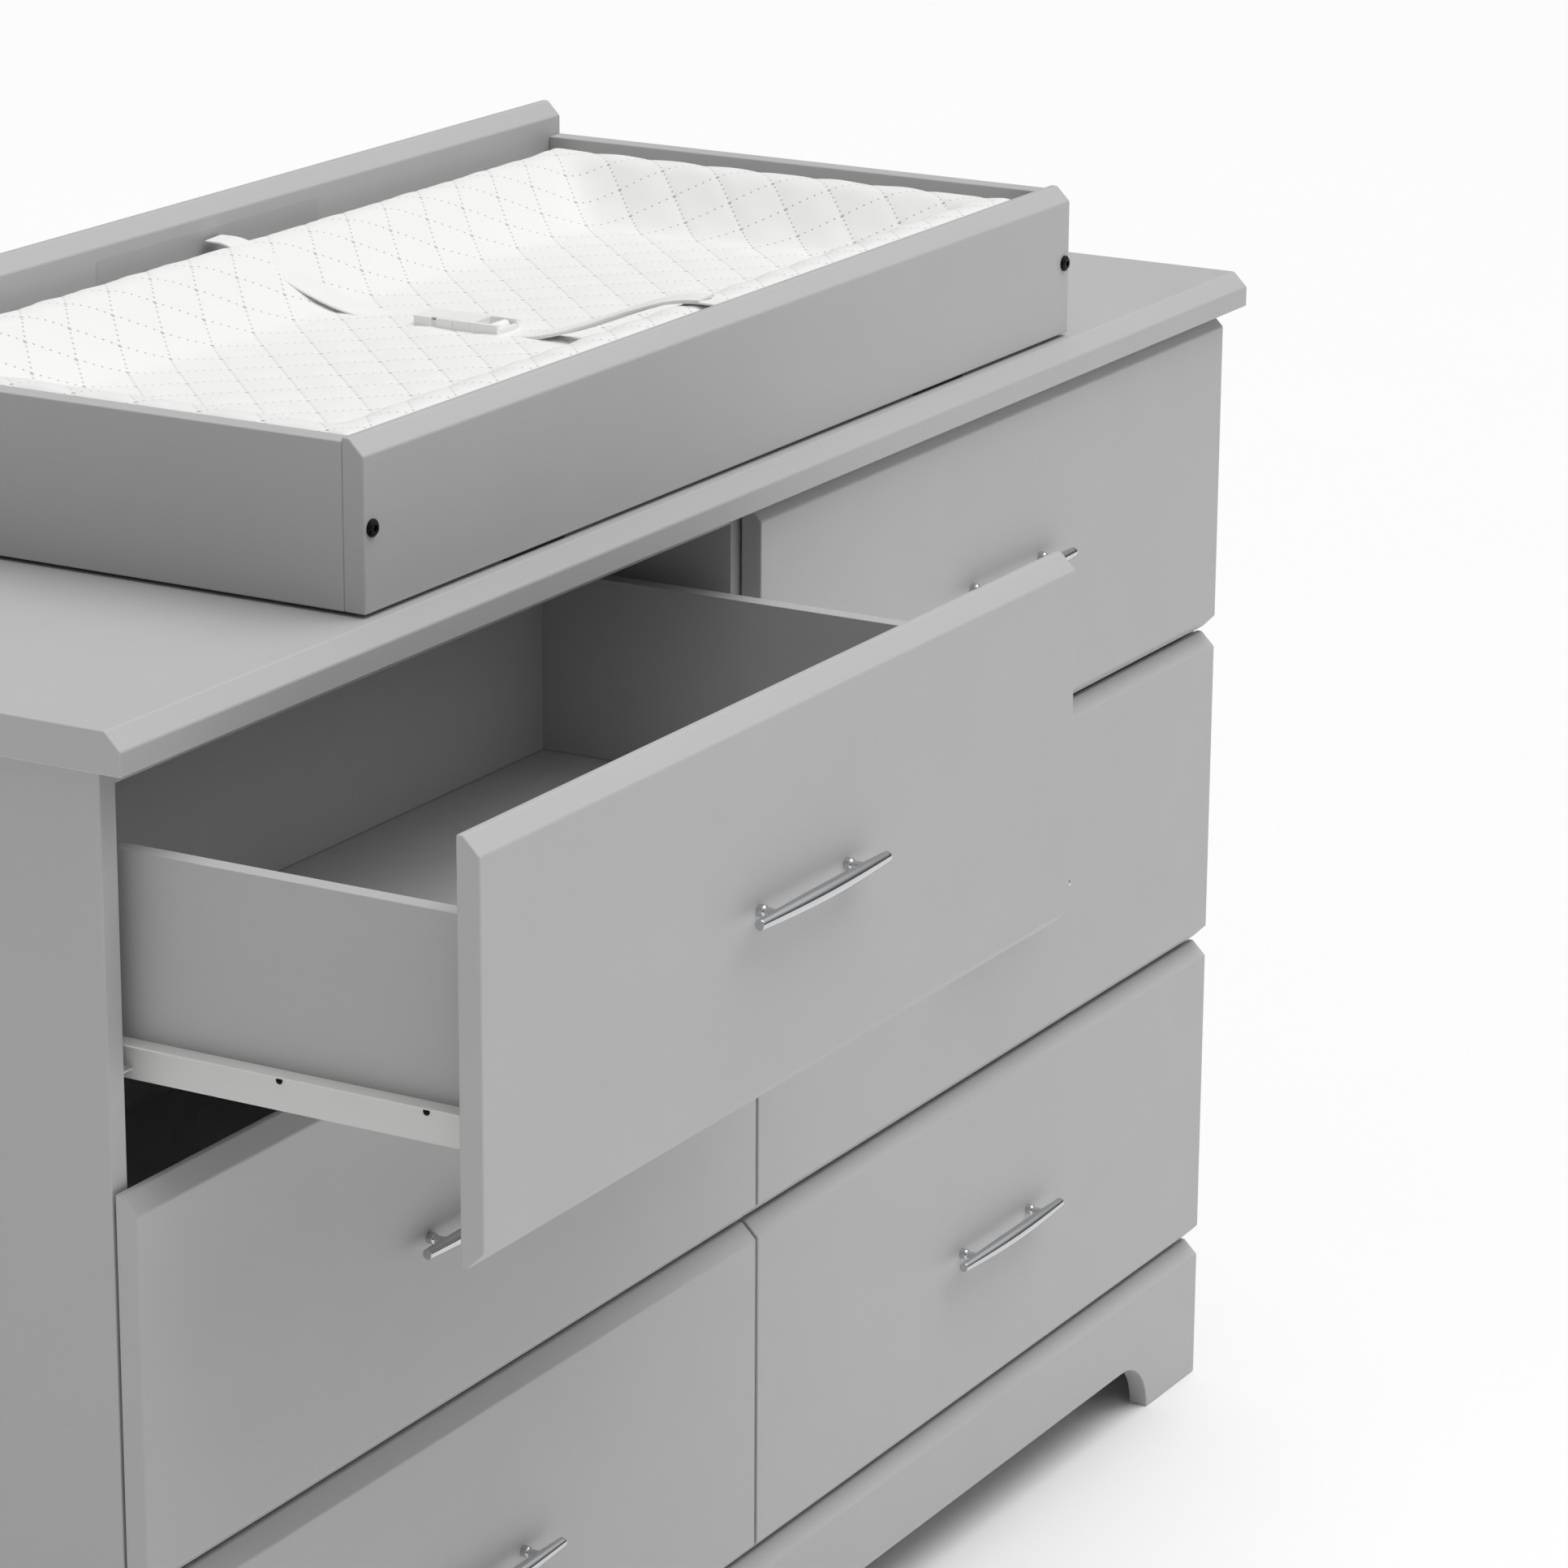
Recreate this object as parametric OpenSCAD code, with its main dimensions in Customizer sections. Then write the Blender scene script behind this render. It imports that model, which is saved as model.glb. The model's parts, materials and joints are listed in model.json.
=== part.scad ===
// Changing table: a six-drawer dresser, a lift-off topper frame and a contoured changing pad.
// Millimetres. +Z is up, +X runs to the right along the front, and the drawers open towards -Y.
// The origin is on the floor, at the middle of the box round everything, open drawer included.

/* [Case] */
// Length of the top panel, end to end
top_length = 1405; // [1200:1:1800]
// Depth of the top panel, front to back
top_depth = 460; // [455:1:600]
// Height of the top panel's upper face above the floor
top_height = 875; // [720:1:1080]
// Thickness of the top panel
top_t = 25; // [18:0.5:32]
// How far the top panel stands out past each side
side_overhang = 17; // [0:0.5:40]
// How far the top panel stands out past the drawer fronts
front_overhang = 10.4; // [0:0.1:30]
// Thickness of the sides, divider, bottom, plinth and rails
board_t = 15; // [12:0.5:20]
// Thickness of the back panels
back_t = 3; // [2.5:0.5:6]
// Width and height of the chamfer along the long front edges
chamfer = 10.5; // [2:0.5:11.5]
// Height of the upper rails' faces
rail_board_h = 60; // [40:1:80]
// Radius of the two holes for a wall strap
wall_hole_r = 2.5; // [2:0.1:4]
// Distance between the two holes for a wall strap
wall_hole_spacing = 600; // [200:1:900]

/* [Plinth] */
// Height of the front plinth
plinth_h = 109; // [90:1:150]
// Height of the low arch cut into the plinth
arch_h = 43; // [25:1:60]
// Width of the plinth's foot at each end
foot_w = 83; // [60:1:150]

/* [Drawers] */
// Thickness of a drawer front
front_t = 15; // [12:0.5:20]
// Gap between neighbouring fronts, and above and below them
reveal = 3; // [2:0.5:5]
// Gap between a closed front and the case behind it
front_gap = 2; // [1:0.5:4]
// Thickness of a drawer box's sides and back
drawer_side_t = 12; // [10:0.5:15]
// Height of a drawer box's sides
drawer_side_h = 133; // [80:1:135]
// Height of the sides' lower edge above the front's lower edge
drawer_lift = 55.7; // [30:0.1:58]
// Free room behind a closed drawer box
drawer_rear_room = 61.6; // [25:0.1:100]
// Thickness of a drawer's bottom panel
drawer_bottom_t = 3; // [2.5:0.5:6]
// Height of the bottom panel above the sides' lower edge
bottom_lift = 8; // [6:0.5:15]
// Depth of the groove that holds the bottom panel
groove_depth = 5; // [3:0.5:7]
// How far a drawer opens
drawer_travel = 265; // [150:1:270]
// How far the upper left drawer stands open
drawer_shown = 228; // [0:1:250]

/* [Runners] */
// Room between a drawer side and the case at each runner
runner_room = 12.5; // [12.5:0.1:14]
// Sheet thickness of the runner rails
rail_t = 1.1; // [0.9:0.1:1.5]
// Height of the rail on a drawer side
drawer_rail_h = 24; // [23:0.5:30]
// How much shorter than the drawer box a runner is
rail_short = 20; // [10:1:60]
// Radius of the front rollers, fixed to the case
front_roller_r = 7.2; // [6.5:0.1:7.2]
// Radius of the rear rollers, fixed to the drawer
rear_roller_r = 6.6; // [6:0.1:6.6]
// Radius of the roller rivets
rivet_r = 2; // [1.5:0.1:2.5]

/* [Handles] */
// Length of the handle's bar
handle_length = 150; // [125:1:200]
// Radius of the bar at its ends
bar_end_r = 3.4; // [2.5:0.1:5]
// Radius of the bar at its middle
bar_mid_r = 5; // [3.5:0.1:7]
// Distance from the front's face to the bar's axis
handle_reach = 16; // [14:0.5:30]
// Distance between the handle's two posts
post_spacing = 101.6; // [96:0.1:120]
// Radius of a post's round foot
post_foot_r = 3.8; // [3.2:0.1:6]

/* [Topper] */
// Length of the topper frame
topper_length = 884; // [700:1:1100]
// Depth of the topper frame
topper_depth = 435.3; // [380:0.1:450]
// How far the topper's back stands in from the top panel's back edge
topper_inset = 8.1; // [0:0.1:20]
// Thickness of the topper's boards
topper_board_t = 15; // [12:0.5:20]
// Height of the topper's front board
topper_front_h = 103.5; // [80:0.5:150]
// Height of the topper's back board
topper_back_h = 124.4; // [90:0.1:180]
// How much lower than the front board the end boards are
topper_end_drop = 2.4; // [0:0.1:10]
// Chamfer along the front edge of the topper's long boards
topper_chamfer = 10; // [2:0.5:11]
// Thickness of the topper's feet
topper_foot_t = 2.4; // [1:0.1:6]

/* [Pad] */
// Height of the pad's rim above its underside
pad_rim_h = 100.2; // [80:0.1:110]
// Height of the pad's middle above its underside
pad_mid_h = 59.5; // [30:0.5:75]
// Width of the flat crest of the rim
pad_rim_w = 14; // [8:1:30]
// Width of the slope between the rim and the middle
pad_slope_w = 86; // [50:1:120]
// Width of the restraint strap
strap_w = 20; // [18:0.5:21]
// Thickness of the webbing
strap_t = 1.6; // [1:0.1:2.2]
// Length of the closed buckle
buckle_length = 65; // [55:1:80]
// Width of the buckle
buckle_w = 27; // [25:0.5:35]
// Thickness of the buckle
buckle_t = 10.2; // [9:0.1:14]

/* [Hidden] */
COLUMNS = ["left", "right"];
ROWS = ["bottom", "middle", "top"];
DRAWER_PARTS = ["front", "box", "bottom", "handle", "rails", "rear_rollers", "front_rollers"];
function drawer_node(c, r, part) = str(ROWS[r], "_", COLUMNS[c], "_drawer_", part);

$fn = 48;
cut = 1;                      // how far a cutter runs past the face it opens
seat = 0.3;                   // air left between pieces that rest or roll on each other
glue = 0.05;                  // thickness of a glue line or a screw's bedding
board_grey = [0.63, 0.63, 0.63];
dark = [0.1, 0.1, 0.1];
pale = [0.94, 0.94, 0.93];

// case
case_w = top_length - 2 * side_overhang;
case_h = top_height - top_t;
case_front = front_t + front_gap;
case_back = top_depth - front_overhang - back_t;
inner_w = case_w - 2 * board_t;
bay_w = (inner_w - board_t) / 2;
bottom_panel_z = plinth_h - reveal - 2 * board_t;
wall_hole_z = case_h - rail_board_h / 2;
back_seam = 1;

// fronts
front_w = (case_w - reveal) / 2;
front_h = (case_h - plinth_h - 4 * reveal) / 3;
function side_of(c) = c == 0 ? -1 : 1;
function front_x(c) = side_of(c) * (front_w + reveal) / 2;
function bay_x(c) = side_of(c) * (bay_w + board_t) / 2;
function front_z(r) = plinth_h + reveal + r * (front_h + reveal);
function opened(c, r) = c == 0 && r == 2 ? drawer_shown : 0;

// drawer box
box_w = bay_w - 2 * runner_room;
box_depth = case_back - drawer_rear_room - front_t;
groove_slack = 0.3;

// runners: "out" runs from the drawer's side to the case, "up" from the drawer side's lower edge
rail_length = box_depth - rail_short;
drawer_rail_inset = 1;
channel_inset = 2;
drawer_rail_y = front_t + drawer_rail_inset;
channel_y = case_front + channel_inset;
rail_under = drawer_rail_h - rail_t;
flange_air = 1.5;
drawer_flange_w = runner_room - flange_air;
front_roller_up = rail_under - seat - front_roller_r;
front_roller_inset = 12;
front_roller_y = channel_y + front_roller_inset;
lip_drop = 0.5;
channel_lip_top = rail_under - lip_drop;
channel_up = channel_lip_top - 2 * rail_t - 2 * rear_roller_r - 2 * seat;
channel_foot_air = 0.8;
channel_foot_out = rail_t + channel_foot_air;
channel_lip_w = 5;
lip_start = 24;
rear_roller_up = channel_up + rail_t + seat + rear_roller_r;
rear_roller_inset = 9;
rear_roller_y = drawer_rail_y + rail_length - rear_roller_inset;
roller_w = 6.3;
rivet_head_r = 3;
rivet_head_t = 0.6;
rivet_air = 0.05;
rivet_play = 0.2;             // end play of a roller under its rivet's head
rear_roller_air = 1;
front_roller_air = 0.9;
rear_roller_out = rail_t + rear_roller_air;
front_roller_out = runner_room - rail_t - front_roller_air - roller_w;
stop_h = 3;
stop_l = 4;
stop_foot_inset = 1;
rear_stop_h = 10;
screw_up = 17.6;
screw_runs = [37, 133, rail_length - 57];    // how far behind the rail's front end its screws are
screw_shank_r = 1.4;
screw_shank_l = 9;
screw_head_r = 2.2;
screw_head_t = 1;
screw_air = 0.1;
screw_places = [for (run = screw_runs) drawer_rail_y + run];

// handles
post_foot_l = 5;
post_neck_r = 2.4;
handle_screw_r = 1.8;
handle_screw_head_r = 4;
handle_screw_head_t = 2.4;
handle_screw_bite = 6;
handle_screw_bed = 0.1;
bar_steps = 12;
function bar_r(t) = bar_end_r + (bar_mid_r - bar_end_r) * cos(90 * t);

// topper
topper_z = top_height + topper_foot_t;
topper_back_y = top_depth - front_overhang - topper_inset;
topper_front_y = topper_back_y - topper_depth;
topper_inner_l = topper_length - 2 * topper_board_t;
topper_inner_d = topper_depth - 2 * topper_board_t;
topper_end_h = topper_front_h - topper_end_drop;
bolt_up = 50.5;
bolt_r = 3;
bolt_l = 45;
bolt_air = 0.2;
bolt_head_r = 5.4;
bolt_head_t = 2.8;
bolt_dome = 1.6;               // how much narrower the head's face is than its rim
bolt_socket_r = 2.3;
bolt_socket_depth = 1.8;
topper_foot_l = 66;
topper_foot_w = 11;
topper_foot_x = 256;
topper_foot_inset = 2;
foot_air = 0.1;

// pad, strap and buckle
pad_air = 0.9;
pad_l = topper_inner_l - 2 * pad_air;
pad_d = topper_inner_d - 2 * pad_air;
pad_z = top_height + seat;
pad_front_y = topper_front_y + topper_board_t + pad_air;
pad_back_y = pad_front_y + pad_d;
pad_mid_y = (pad_front_y + pad_back_y) / 2;
pad_corner_r = 12;
strap_air = 0.2;
buckle_air = 1;
buckle_shift = 1;             // how far the buckle lies forward of the pad's middle
strap_bed = 0.4;
strap_rim_z = pad_z + pad_rim_h + strap_air;
buckle_z = pad_z + pad_mid_h + buckle_air;
buckle_y = pad_mid_y - buckle_length / 2 - buckle_shift;
strap_low_z = buckle_z + strap_bed;
strap_hem = 2;                // how far a strap's end stands in from the pad's edge
front_flat = 2;               // flat length of webbing in front of the buckle
rear_flat = 8;                // flat length of webbing behind the buckle
front_sag = 1;
rear_sag = 0.7;
strap_steps = 14;
frame_l = 21.6;
socket_l = 26;
gap_l = 4.6;
shoulder_l = buckle_length - frame_l - socket_l - gap_l;
buckle_wall = 2;
frame_wall = 3.2;
socket_wall = 2.4;
socket_floor = 1.5;
arm_l = 13;
arm_w = 3;
arm_air = 0.3;
seam = 0.3;
lip_t = 1;
blade_w = 6;
blade_l = 20;
web_bar_r = 2.2;
web_bar_y = 7;
web_bar_back = 1;
web_bar_drop = 1.9;
strap_end_air = 0.3;
slot_top = strap_bed + 2 * strap_t + strap_end_air;
cross_bar_h = 3.5;

// Moves a piece from the case's own frame, where Y = 0 is the drawer fronts' face, to the part's origin.
whole_front = -drawer_shown - handle_reach - bar_mid_r;
whole_back = top_depth - front_overhang;
module place() {
    translate([0, -(whole_front + whole_back) / 2, 0]) children();
}

// Extrudes an outline of (depth, height) points along X, centred.
module along_x(length) {
    translate([-length / 2, 0, 0]) rotate([90, 0, 90]) linear_extrude(length) children();
}

// A pin or bore along X that starts at x = 0.
module pin_x(r, length) {
    rotate([0, 90, 0]) cylinder(r = r, h = length);
}

// A pin or bore along -Y that starts at y = 0 and runs towards the front.
module pin_front(r, length) {
    rotate([90, 0, 0]) cylinder(r = r, h = length);
}

module board(x, y, z) {
    translate([x[0], y[0], z[0]]) cube([x[1] - x[0], y[1] - y[0], z[1] - z[0]]);
}

// ---- case ----

module top_panel() {
    color(board_grey) place() translate([0, -front_overhang, case_h]) along_x(top_length)
        polygon([[0, 0], [top_depth, 0], [top_depth, top_t], [chamfer, top_t], [0, top_t - chamfer]]);
}

module side_panel(side) {
    edge = side * case_w / 2;
    color(board_grey) place()
        board([min(edge, edge - side * board_t), max(edge, edge - side * board_t)],
              [case_front, case_back], [0, case_h]);
}

module centre_divider() {
    color(board_grey) place()
        board([-board_t / 2, board_t / 2], [case_front, case_back], [bottom_panel_z + board_t, case_h]);
}

// Two holes through the upper back of the case, for the screws of a wall strap.
module wall_holes() {
    for (side = [-1, 1]) translate([side * wall_hole_spacing / 2, case_back + back_t + cut, wall_hole_z])
        pin_front(wall_hole_r, board_t + back_t + 2 * cut);
}

module back_panels() {
    color(board_grey) place() difference() {
        for (side = [-1, 1])
            translate([side * case_w / 4, case_back + back_t / 2, (case_h + bottom_panel_z) / 2])
                cube([case_w / 2 - back_seam, back_t, case_h - bottom_panel_z], center = true);
        wall_holes();
    }
}

module bottom_panel() {
    color(board_grey) place()
        board([-inner_w / 2, inner_w / 2], [front_t, case_back], [bottom_panel_z, bottom_panel_z + board_t]);
}

module front_plinth() {
    span = case_w - 2 * foot_w;
    color(board_grey) place() difference() {
        along_x(case_w)
            polygon([[0, 0], [front_t, 0], [front_t, plinth_h], [chamfer, plinth_h], [0, plinth_h - chamfer]]);
        translate([0, front_t + cut, 0]) rotate([90, 0, 0]) linear_extrude(front_t + 2 * cut) union() {
            translate([-span / 2 + arch_h, -cut]) square([span - 2 * arch_h, arch_h + cut]);
            translate([-span / 2, -cut]) square([span, cut]);
            for (side = [-1, 1]) intersection() {
                translate([side * (span / 2 - arch_h), 0]) circle(arch_h);
                translate([side > 0 ? span / 2 - arch_h : -span / 2, 0]) square(arch_h);
            }
        }
    }
}

// Upper front and rear rails in each bay, and one lower rail under the back of the bottom panel.
module case_rails() {
    color(board_grey) place() {
        for (c = [0, 1]) translate([bay_x(c), 0, 0]) {
            board([-bay_w / 2, bay_w / 2], [case_front, case_front + rail_board_h], [case_h - board_t, case_h]);
        }
        difference() {
            for (c = [0, 1]) translate([bay_x(c), 0, 0])
                board([-bay_w / 2, bay_w / 2], [case_back - board_t, case_back], [case_h - rail_board_h, case_h]);
            wall_holes();
        }
        board([-inner_w / 2, inner_w / 2], [case_back - board_t, case_back], [arch_h, bottom_panel_z]);
    }
}

// ---- runners ----

// Puts a runner piece at both sides of a drawer: x is "out" and z is "up" there.
module both_sides(c, r, open_by) {
    translate([bay_x(c), -open_by, front_z(r) + drawer_lift]) for (flip = [0, 1])
        mirror([flip, 0, 0]) translate([box_w / 2, 0, 0]) children();
}

// The channel on the case: web, foot, lip cut away at the roller, rivet, and stops for the rear roller.
module runner_channel() {
    web_out = runner_room - rail_t;
    bump_y = rear_roller_y - drawer_travel - rear_roller_r - stop_l;
    union() {
        board([web_out, runner_room], [channel_y, channel_y + rail_length], [channel_up, channel_lip_top]);
        board([channel_foot_out, runner_room], [channel_y, channel_y + rail_length],
              [channel_up, channel_up + rail_t]);
        board([runner_room - channel_lip_w, runner_room], [channel_y + lip_start, channel_y + rail_length],
              [channel_lip_top - rail_t, channel_lip_top]);
        board([channel_foot_out + stop_foot_inset, web_out], [bump_y, bump_y + stop_l],
              [channel_up, channel_up + rail_t + stop_h]);
        board([channel_foot_out + stop_foot_inset, web_out],
              [rear_roller_y + rear_roller_r + seat, rear_roller_y + rear_roller_r + seat + rail_t],
              [channel_up, channel_up + rear_stop_h]);
        translate([front_roller_out - rivet_play - rivet_head_t, front_roller_y, front_roller_up]) {
            pin_x(rivet_r, web_out - front_roller_out + rivet_play + rivet_head_t);
            pin_x(rivet_head_r, rivet_head_t);
        }
    }
}

module runner_channels() {
    color([0.8, 0.8, 0.8]) place() for (c = [0, 1], r = [0, 1, 2]) both_sides(c, r, 0) runner_channel();
}

// The angle rail on a drawer side, with the rivet of its rear roller and the holes for its screws.
module drawer_rail() {
    difference() {
        union() {
            board([0, rail_t], [drawer_rail_y, drawer_rail_y + rail_length], [0, drawer_rail_h]);
            board([0, drawer_flange_w], [drawer_rail_y, drawer_rail_y + rail_length],
                  [rail_under, drawer_rail_h]);
            translate([rail_t / 2, rear_roller_y, rear_roller_up])
                pin_x(rivet_r, rear_roller_out + roller_w + rivet_play + rivet_head_t - rail_t / 2);
            translate([rear_roller_out + roller_w + rivet_play, rear_roller_y, rear_roller_up])
                pin_x(rivet_head_r, rivet_head_t);
        }
        for (y = screw_places) translate([-cut, y, screw_up])
            pin_x(screw_shank_r + screw_air, rail_t + 2 * cut);
    }
}

module wood_screw_x() {
    translate([-screw_shank_l, 0, 0]) pin_x(screw_shank_r, screw_shank_l + screw_head_t);
    pin_x(screw_head_r, screw_head_t);
}

module drawer_rails(c, r) {
    color([0.8, 0.8, 0.8]) place() both_sides(c, r, opened(c, r)) {
        drawer_rail();
        for (y = screw_places) translate([rail_t + glue, y, screw_up]) wood_screw_x();
    }
}

module roller(r_outer, out, y, up) {
    translate([out, y, up]) difference() {
        pin_x(r_outer, roller_w);
        translate([-cut, 0, 0]) pin_x(rivet_r + rivet_air, roller_w + 2 * cut);
    }
}

module front_rollers(c, r) {
    color(pale) place() both_sides(c, r, 0)
        roller(front_roller_r, front_roller_out, front_roller_y, front_roller_up);
}

module rear_rollers(c, r) {
    color(pale) place() both_sides(c, r, opened(c, r))
        roller(rear_roller_r, rear_roller_out, rear_roller_y, rear_roller_up);
}

// ---- drawers ----

module drawer_front(c, r) {
    color(board_grey) place() translate([front_x(c), -opened(c, r), front_z(r)]) difference() {
        along_x(front_w)
            polygon([[0, chamfer], [chamfer, 0], [front_t, 0],
                     [front_t, front_h], [chamfer, front_h], [0, front_h - chamfer]]);
        for (side = [-1, 1]) translate([side * post_spacing / 2, front_t + cut, front_h / 2])
            pin_front(handle_screw_r + screw_air, front_t + 2 * cut);
    }
}

// Two grooved sides with blind holes for the runner screws, and a grooved back between them.
module drawer_box(c, r) {
    groove_h = drawer_bottom_t + groove_slack;
    back_front = front_t + box_depth - drawer_side_t;
    color(board_grey) place() {
        both_sides(c, r, opened(c, r)) difference() {
            board([-drawer_side_t, 0], [front_t, front_t + box_depth], [0, drawer_side_h]);
            board([-drawer_side_t - cut, -drawer_side_t + groove_depth],
                  [front_t - cut, back_front + groove_depth], [bottom_lift, bottom_lift + groove_h]);
            for (y = screw_places) translate([-screw_shank_l - screw_air + rail_t, y, screw_up])
                pin_x(screw_shank_r + screw_air, screw_shank_l + cut);
        }
        translate([bay_x(c), -opened(c, r), front_z(r) + drawer_lift]) difference() {
            board([-box_w / 2 + drawer_side_t + glue, box_w / 2 - drawer_side_t - glue],
                  [back_front, front_t + box_depth], [0, drawer_side_h]);
            board([-box_w / 2, box_w / 2], [back_front - cut, back_front + groove_depth],
                  [bottom_lift, bottom_lift + groove_h]);
        }
    }
}

module drawer_bottom(c, r) {
    reach = groove_depth - groove_slack;
    half = box_w / 2 - drawer_side_t + reach;
    color(board_grey) place() translate([bay_x(c), -opened(c, r), front_z(r) + drawer_lift])
        board([-half, half], [front_t, front_t + box_depth - drawer_side_t + reach],
              [bottom_lift, bottom_lift + drawer_bottom_t]);
}

// A bar that swells towards its middle, on two necked posts.
module handle_body() {
    half = handle_length / 2;
    outline = concat([[0, -half]],
                     [for (i = [-bar_steps : bar_steps]) [bar_r(i / bar_steps), half * i / bar_steps]],
                     [[0, half]]);
    difference() {
        union() {
            translate([0, -handle_reach, 0]) rotate([0, 90, 0]) rotate_extrude() polygon(outline);
            for (side = [-1, 1]) translate([side * post_spacing / 2, 0, 0]) {
                pin_front(post_foot_r, post_foot_l);
                translate([0, -post_foot_l, 0]) rotate([90, 0, 0])
                    cylinder(r1 = post_foot_r, r2 = post_neck_r, h = handle_reach - post_foot_l);
            }
        }
        for (side = [-1, 1]) translate([side * post_spacing / 2, cut, 0])
            pin_front(handle_screw_r + screw_air, handle_screw_bite + screw_air + cut);
    }
}

module drawer_handle(c, r) {
    color([0.85, 0.86, 0.88]) place() translate([front_x(c), -opened(c, r), front_z(r) + front_h / 2]) {
        handle_body();
        for (side = [-1, 1]) translate([side * post_spacing / 2, front_t, 0]) {
            translate([0, handle_screw_head_t, 0]) pin_front(handle_screw_head_r, handle_screw_head_t);
            translate([0, handle_screw_bed, 0])
                pin_front(handle_screw_r, front_t + handle_screw_bite + handle_screw_bed);
        }
    }
}

// ---- topper ----

// Puts a piece at each of the topper's four bolts: x = 0 is the bolt's axis, y = 0 the board's outer face.
module at_bolts(y_faces) {
    for (x = [-1, 1], y = y_faces)
        translate([x * (topper_length - topper_board_t) / 2, y == 0 ? topper_front_y : topper_back_y,
                   topper_z + bolt_up])
            mirror([0, y, 0]) children();
}

module bolt_bore() {
    translate([0, bolt_l + bolt_air, 0]) pin_front(bolt_r + bolt_air, bolt_l + bolt_air + cut);
}

module long_board(height) {
    along_x(topper_length)
        polygon([[0, 0], [topper_board_t, 0], [topper_board_t, height],
                 [topper_chamfer, height], [0, height - topper_chamfer]]);
}

module topper_front_board() {
    color(board_grey) place() difference() {
        translate([0, topper_front_y, topper_z]) long_board(topper_front_h);
        at_bolts([0]) bolt_bore();
    }
}

module topper_back_board() {
    color(board_grey) place() difference() {
        translate([0, topper_back_y - topper_board_t, topper_z]) long_board(topper_back_h);
        at_bolts([1]) bolt_bore();
    }
}

module topper_end_boards() {
    color(board_grey) place() difference() {
        for (side = [-1, 1]) translate([side * (topper_length - topper_board_t) / 2, 0, 0])
            board([-topper_board_t / 2, topper_board_t / 2],
                  [topper_front_y + topper_board_t, topper_back_y - topper_board_t],
                  [topper_z, topper_z + topper_end_h]);
        at_bolts([0, 1]) bolt_bore();
    }
}

// Button-head bolt with a hexagon socket, lying along +Y with its head in front of y = 0.
module topper_bolt() {
    difference() {
        union() {
            translate([0, bolt_l, 0]) pin_front(bolt_r, bolt_l + bolt_head_t / 2);
            pin_front(bolt_head_r, bolt_head_t / 2);
            translate([0, -bolt_head_t / 2, 0]) rotate([90, 0, 0])
                cylinder(r1 = bolt_head_r, r2 = bolt_head_r - bolt_dome, h = bolt_head_t / 2);
        }
        translate([0, bolt_socket_depth - bolt_head_t, 0]) rotate([90, 0, 0])
            cylinder(r = bolt_socket_r, h = bolt_socket_depth + cut, $fn = 6);
    }
}

module topper_bolts() {
    color(dark) place() at_bolts([0, 1]) topper_bolt();
}

module topper_feet() {
    rows = [topper_front_y + topper_foot_inset, topper_back_y - topper_foot_inset - topper_foot_w];
    color(dark) place() for (side = [-1, 1], y = rows)
        translate([side * topper_foot_x - topper_foot_l / 2, y, top_height + foot_air])
            cube([topper_foot_l, topper_foot_w, topper_foot_t - foot_air]);
}

// ---- pad, strap and buckle ----

module changing_pad() {
    rim = pad_rim_w;
    low = pad_rim_w + pad_slope_w;
    mid = [pad_l - 2 * low, pad_d - 2 * low];
    top = [pad_l - 2 * rim, pad_d - 2 * rim];
    slope = (pad_rim_h - pad_mid_h) / pad_slope_w;
    color(pale) place() translate([0, pad_mid_y, pad_z]) difference() {
        linear_extrude(pad_rim_h) union() {
            square([pad_l - 2 * pad_corner_r, pad_d], center = true);
            square([pad_l, pad_d - 2 * pad_corner_r], center = true);
            for (x = [-1, 1], y = [-1, 1])
                translate([x * (pad_l / 2 - pad_corner_r), y * (pad_d / 2 - pad_corner_r)]) circle(pad_corner_r);
        }
        hull() {
            translate([-mid[0] / 2, -mid[1] / 2, pad_mid_h]) cube([mid[0], mid[1], 1]);
            translate([-top[0] / 2 - 1 / slope, -top[1] / 2 - 1 / slope, pad_rim_h + 1])
                cube([top[0] + 2 / slope, top[1] + 2 / slope, 1]);
        }
    }
}

// The line that one half of the strap follows from its crest on the rim (t = 0) to the buckle (t = 1).
function strap_line(y_rim, y_low, sag) = [for (i = [0 : strap_steps]) let (t = i / strap_steps)
    [y_rim + (y_low - y_rim) * t,
     strap_low_z + (strap_rim_z - strap_low_z) * (1 + cos(180 * pow(t, sag))) / 2]];

module strap_half(y_edge, y_rim, y_low, y_end, sag, thick) {
    line = concat([[y_edge, strap_rim_z]], strap_line(y_rim, y_low, sag), [[y_end, strap_low_z]]);
    last = len(line) - 1;
    along_x(strap_w)
        polygon(concat(line, [for (i = [0 : last]) line[last - i] + [0, thick]]));
}

module restraint_strap() {
    bar_edge = buckle_y + web_bar_y - web_bar_r - strap_end_air;
    tongue_end = buckle_y + buckle_length + strap_end_air;
    color(pale) place() {
        strap_half(pad_front_y + strap_hem, pad_front_y + pad_rim_w, buckle_y - front_flat, bar_edge, front_sag,
                   2 * strap_t);
        strap_half(pad_back_y - strap_hem, pad_back_y - pad_rim_w, tongue_end + rear_flat, tongue_end, rear_sag,
                   strap_t);
    }
}

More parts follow.
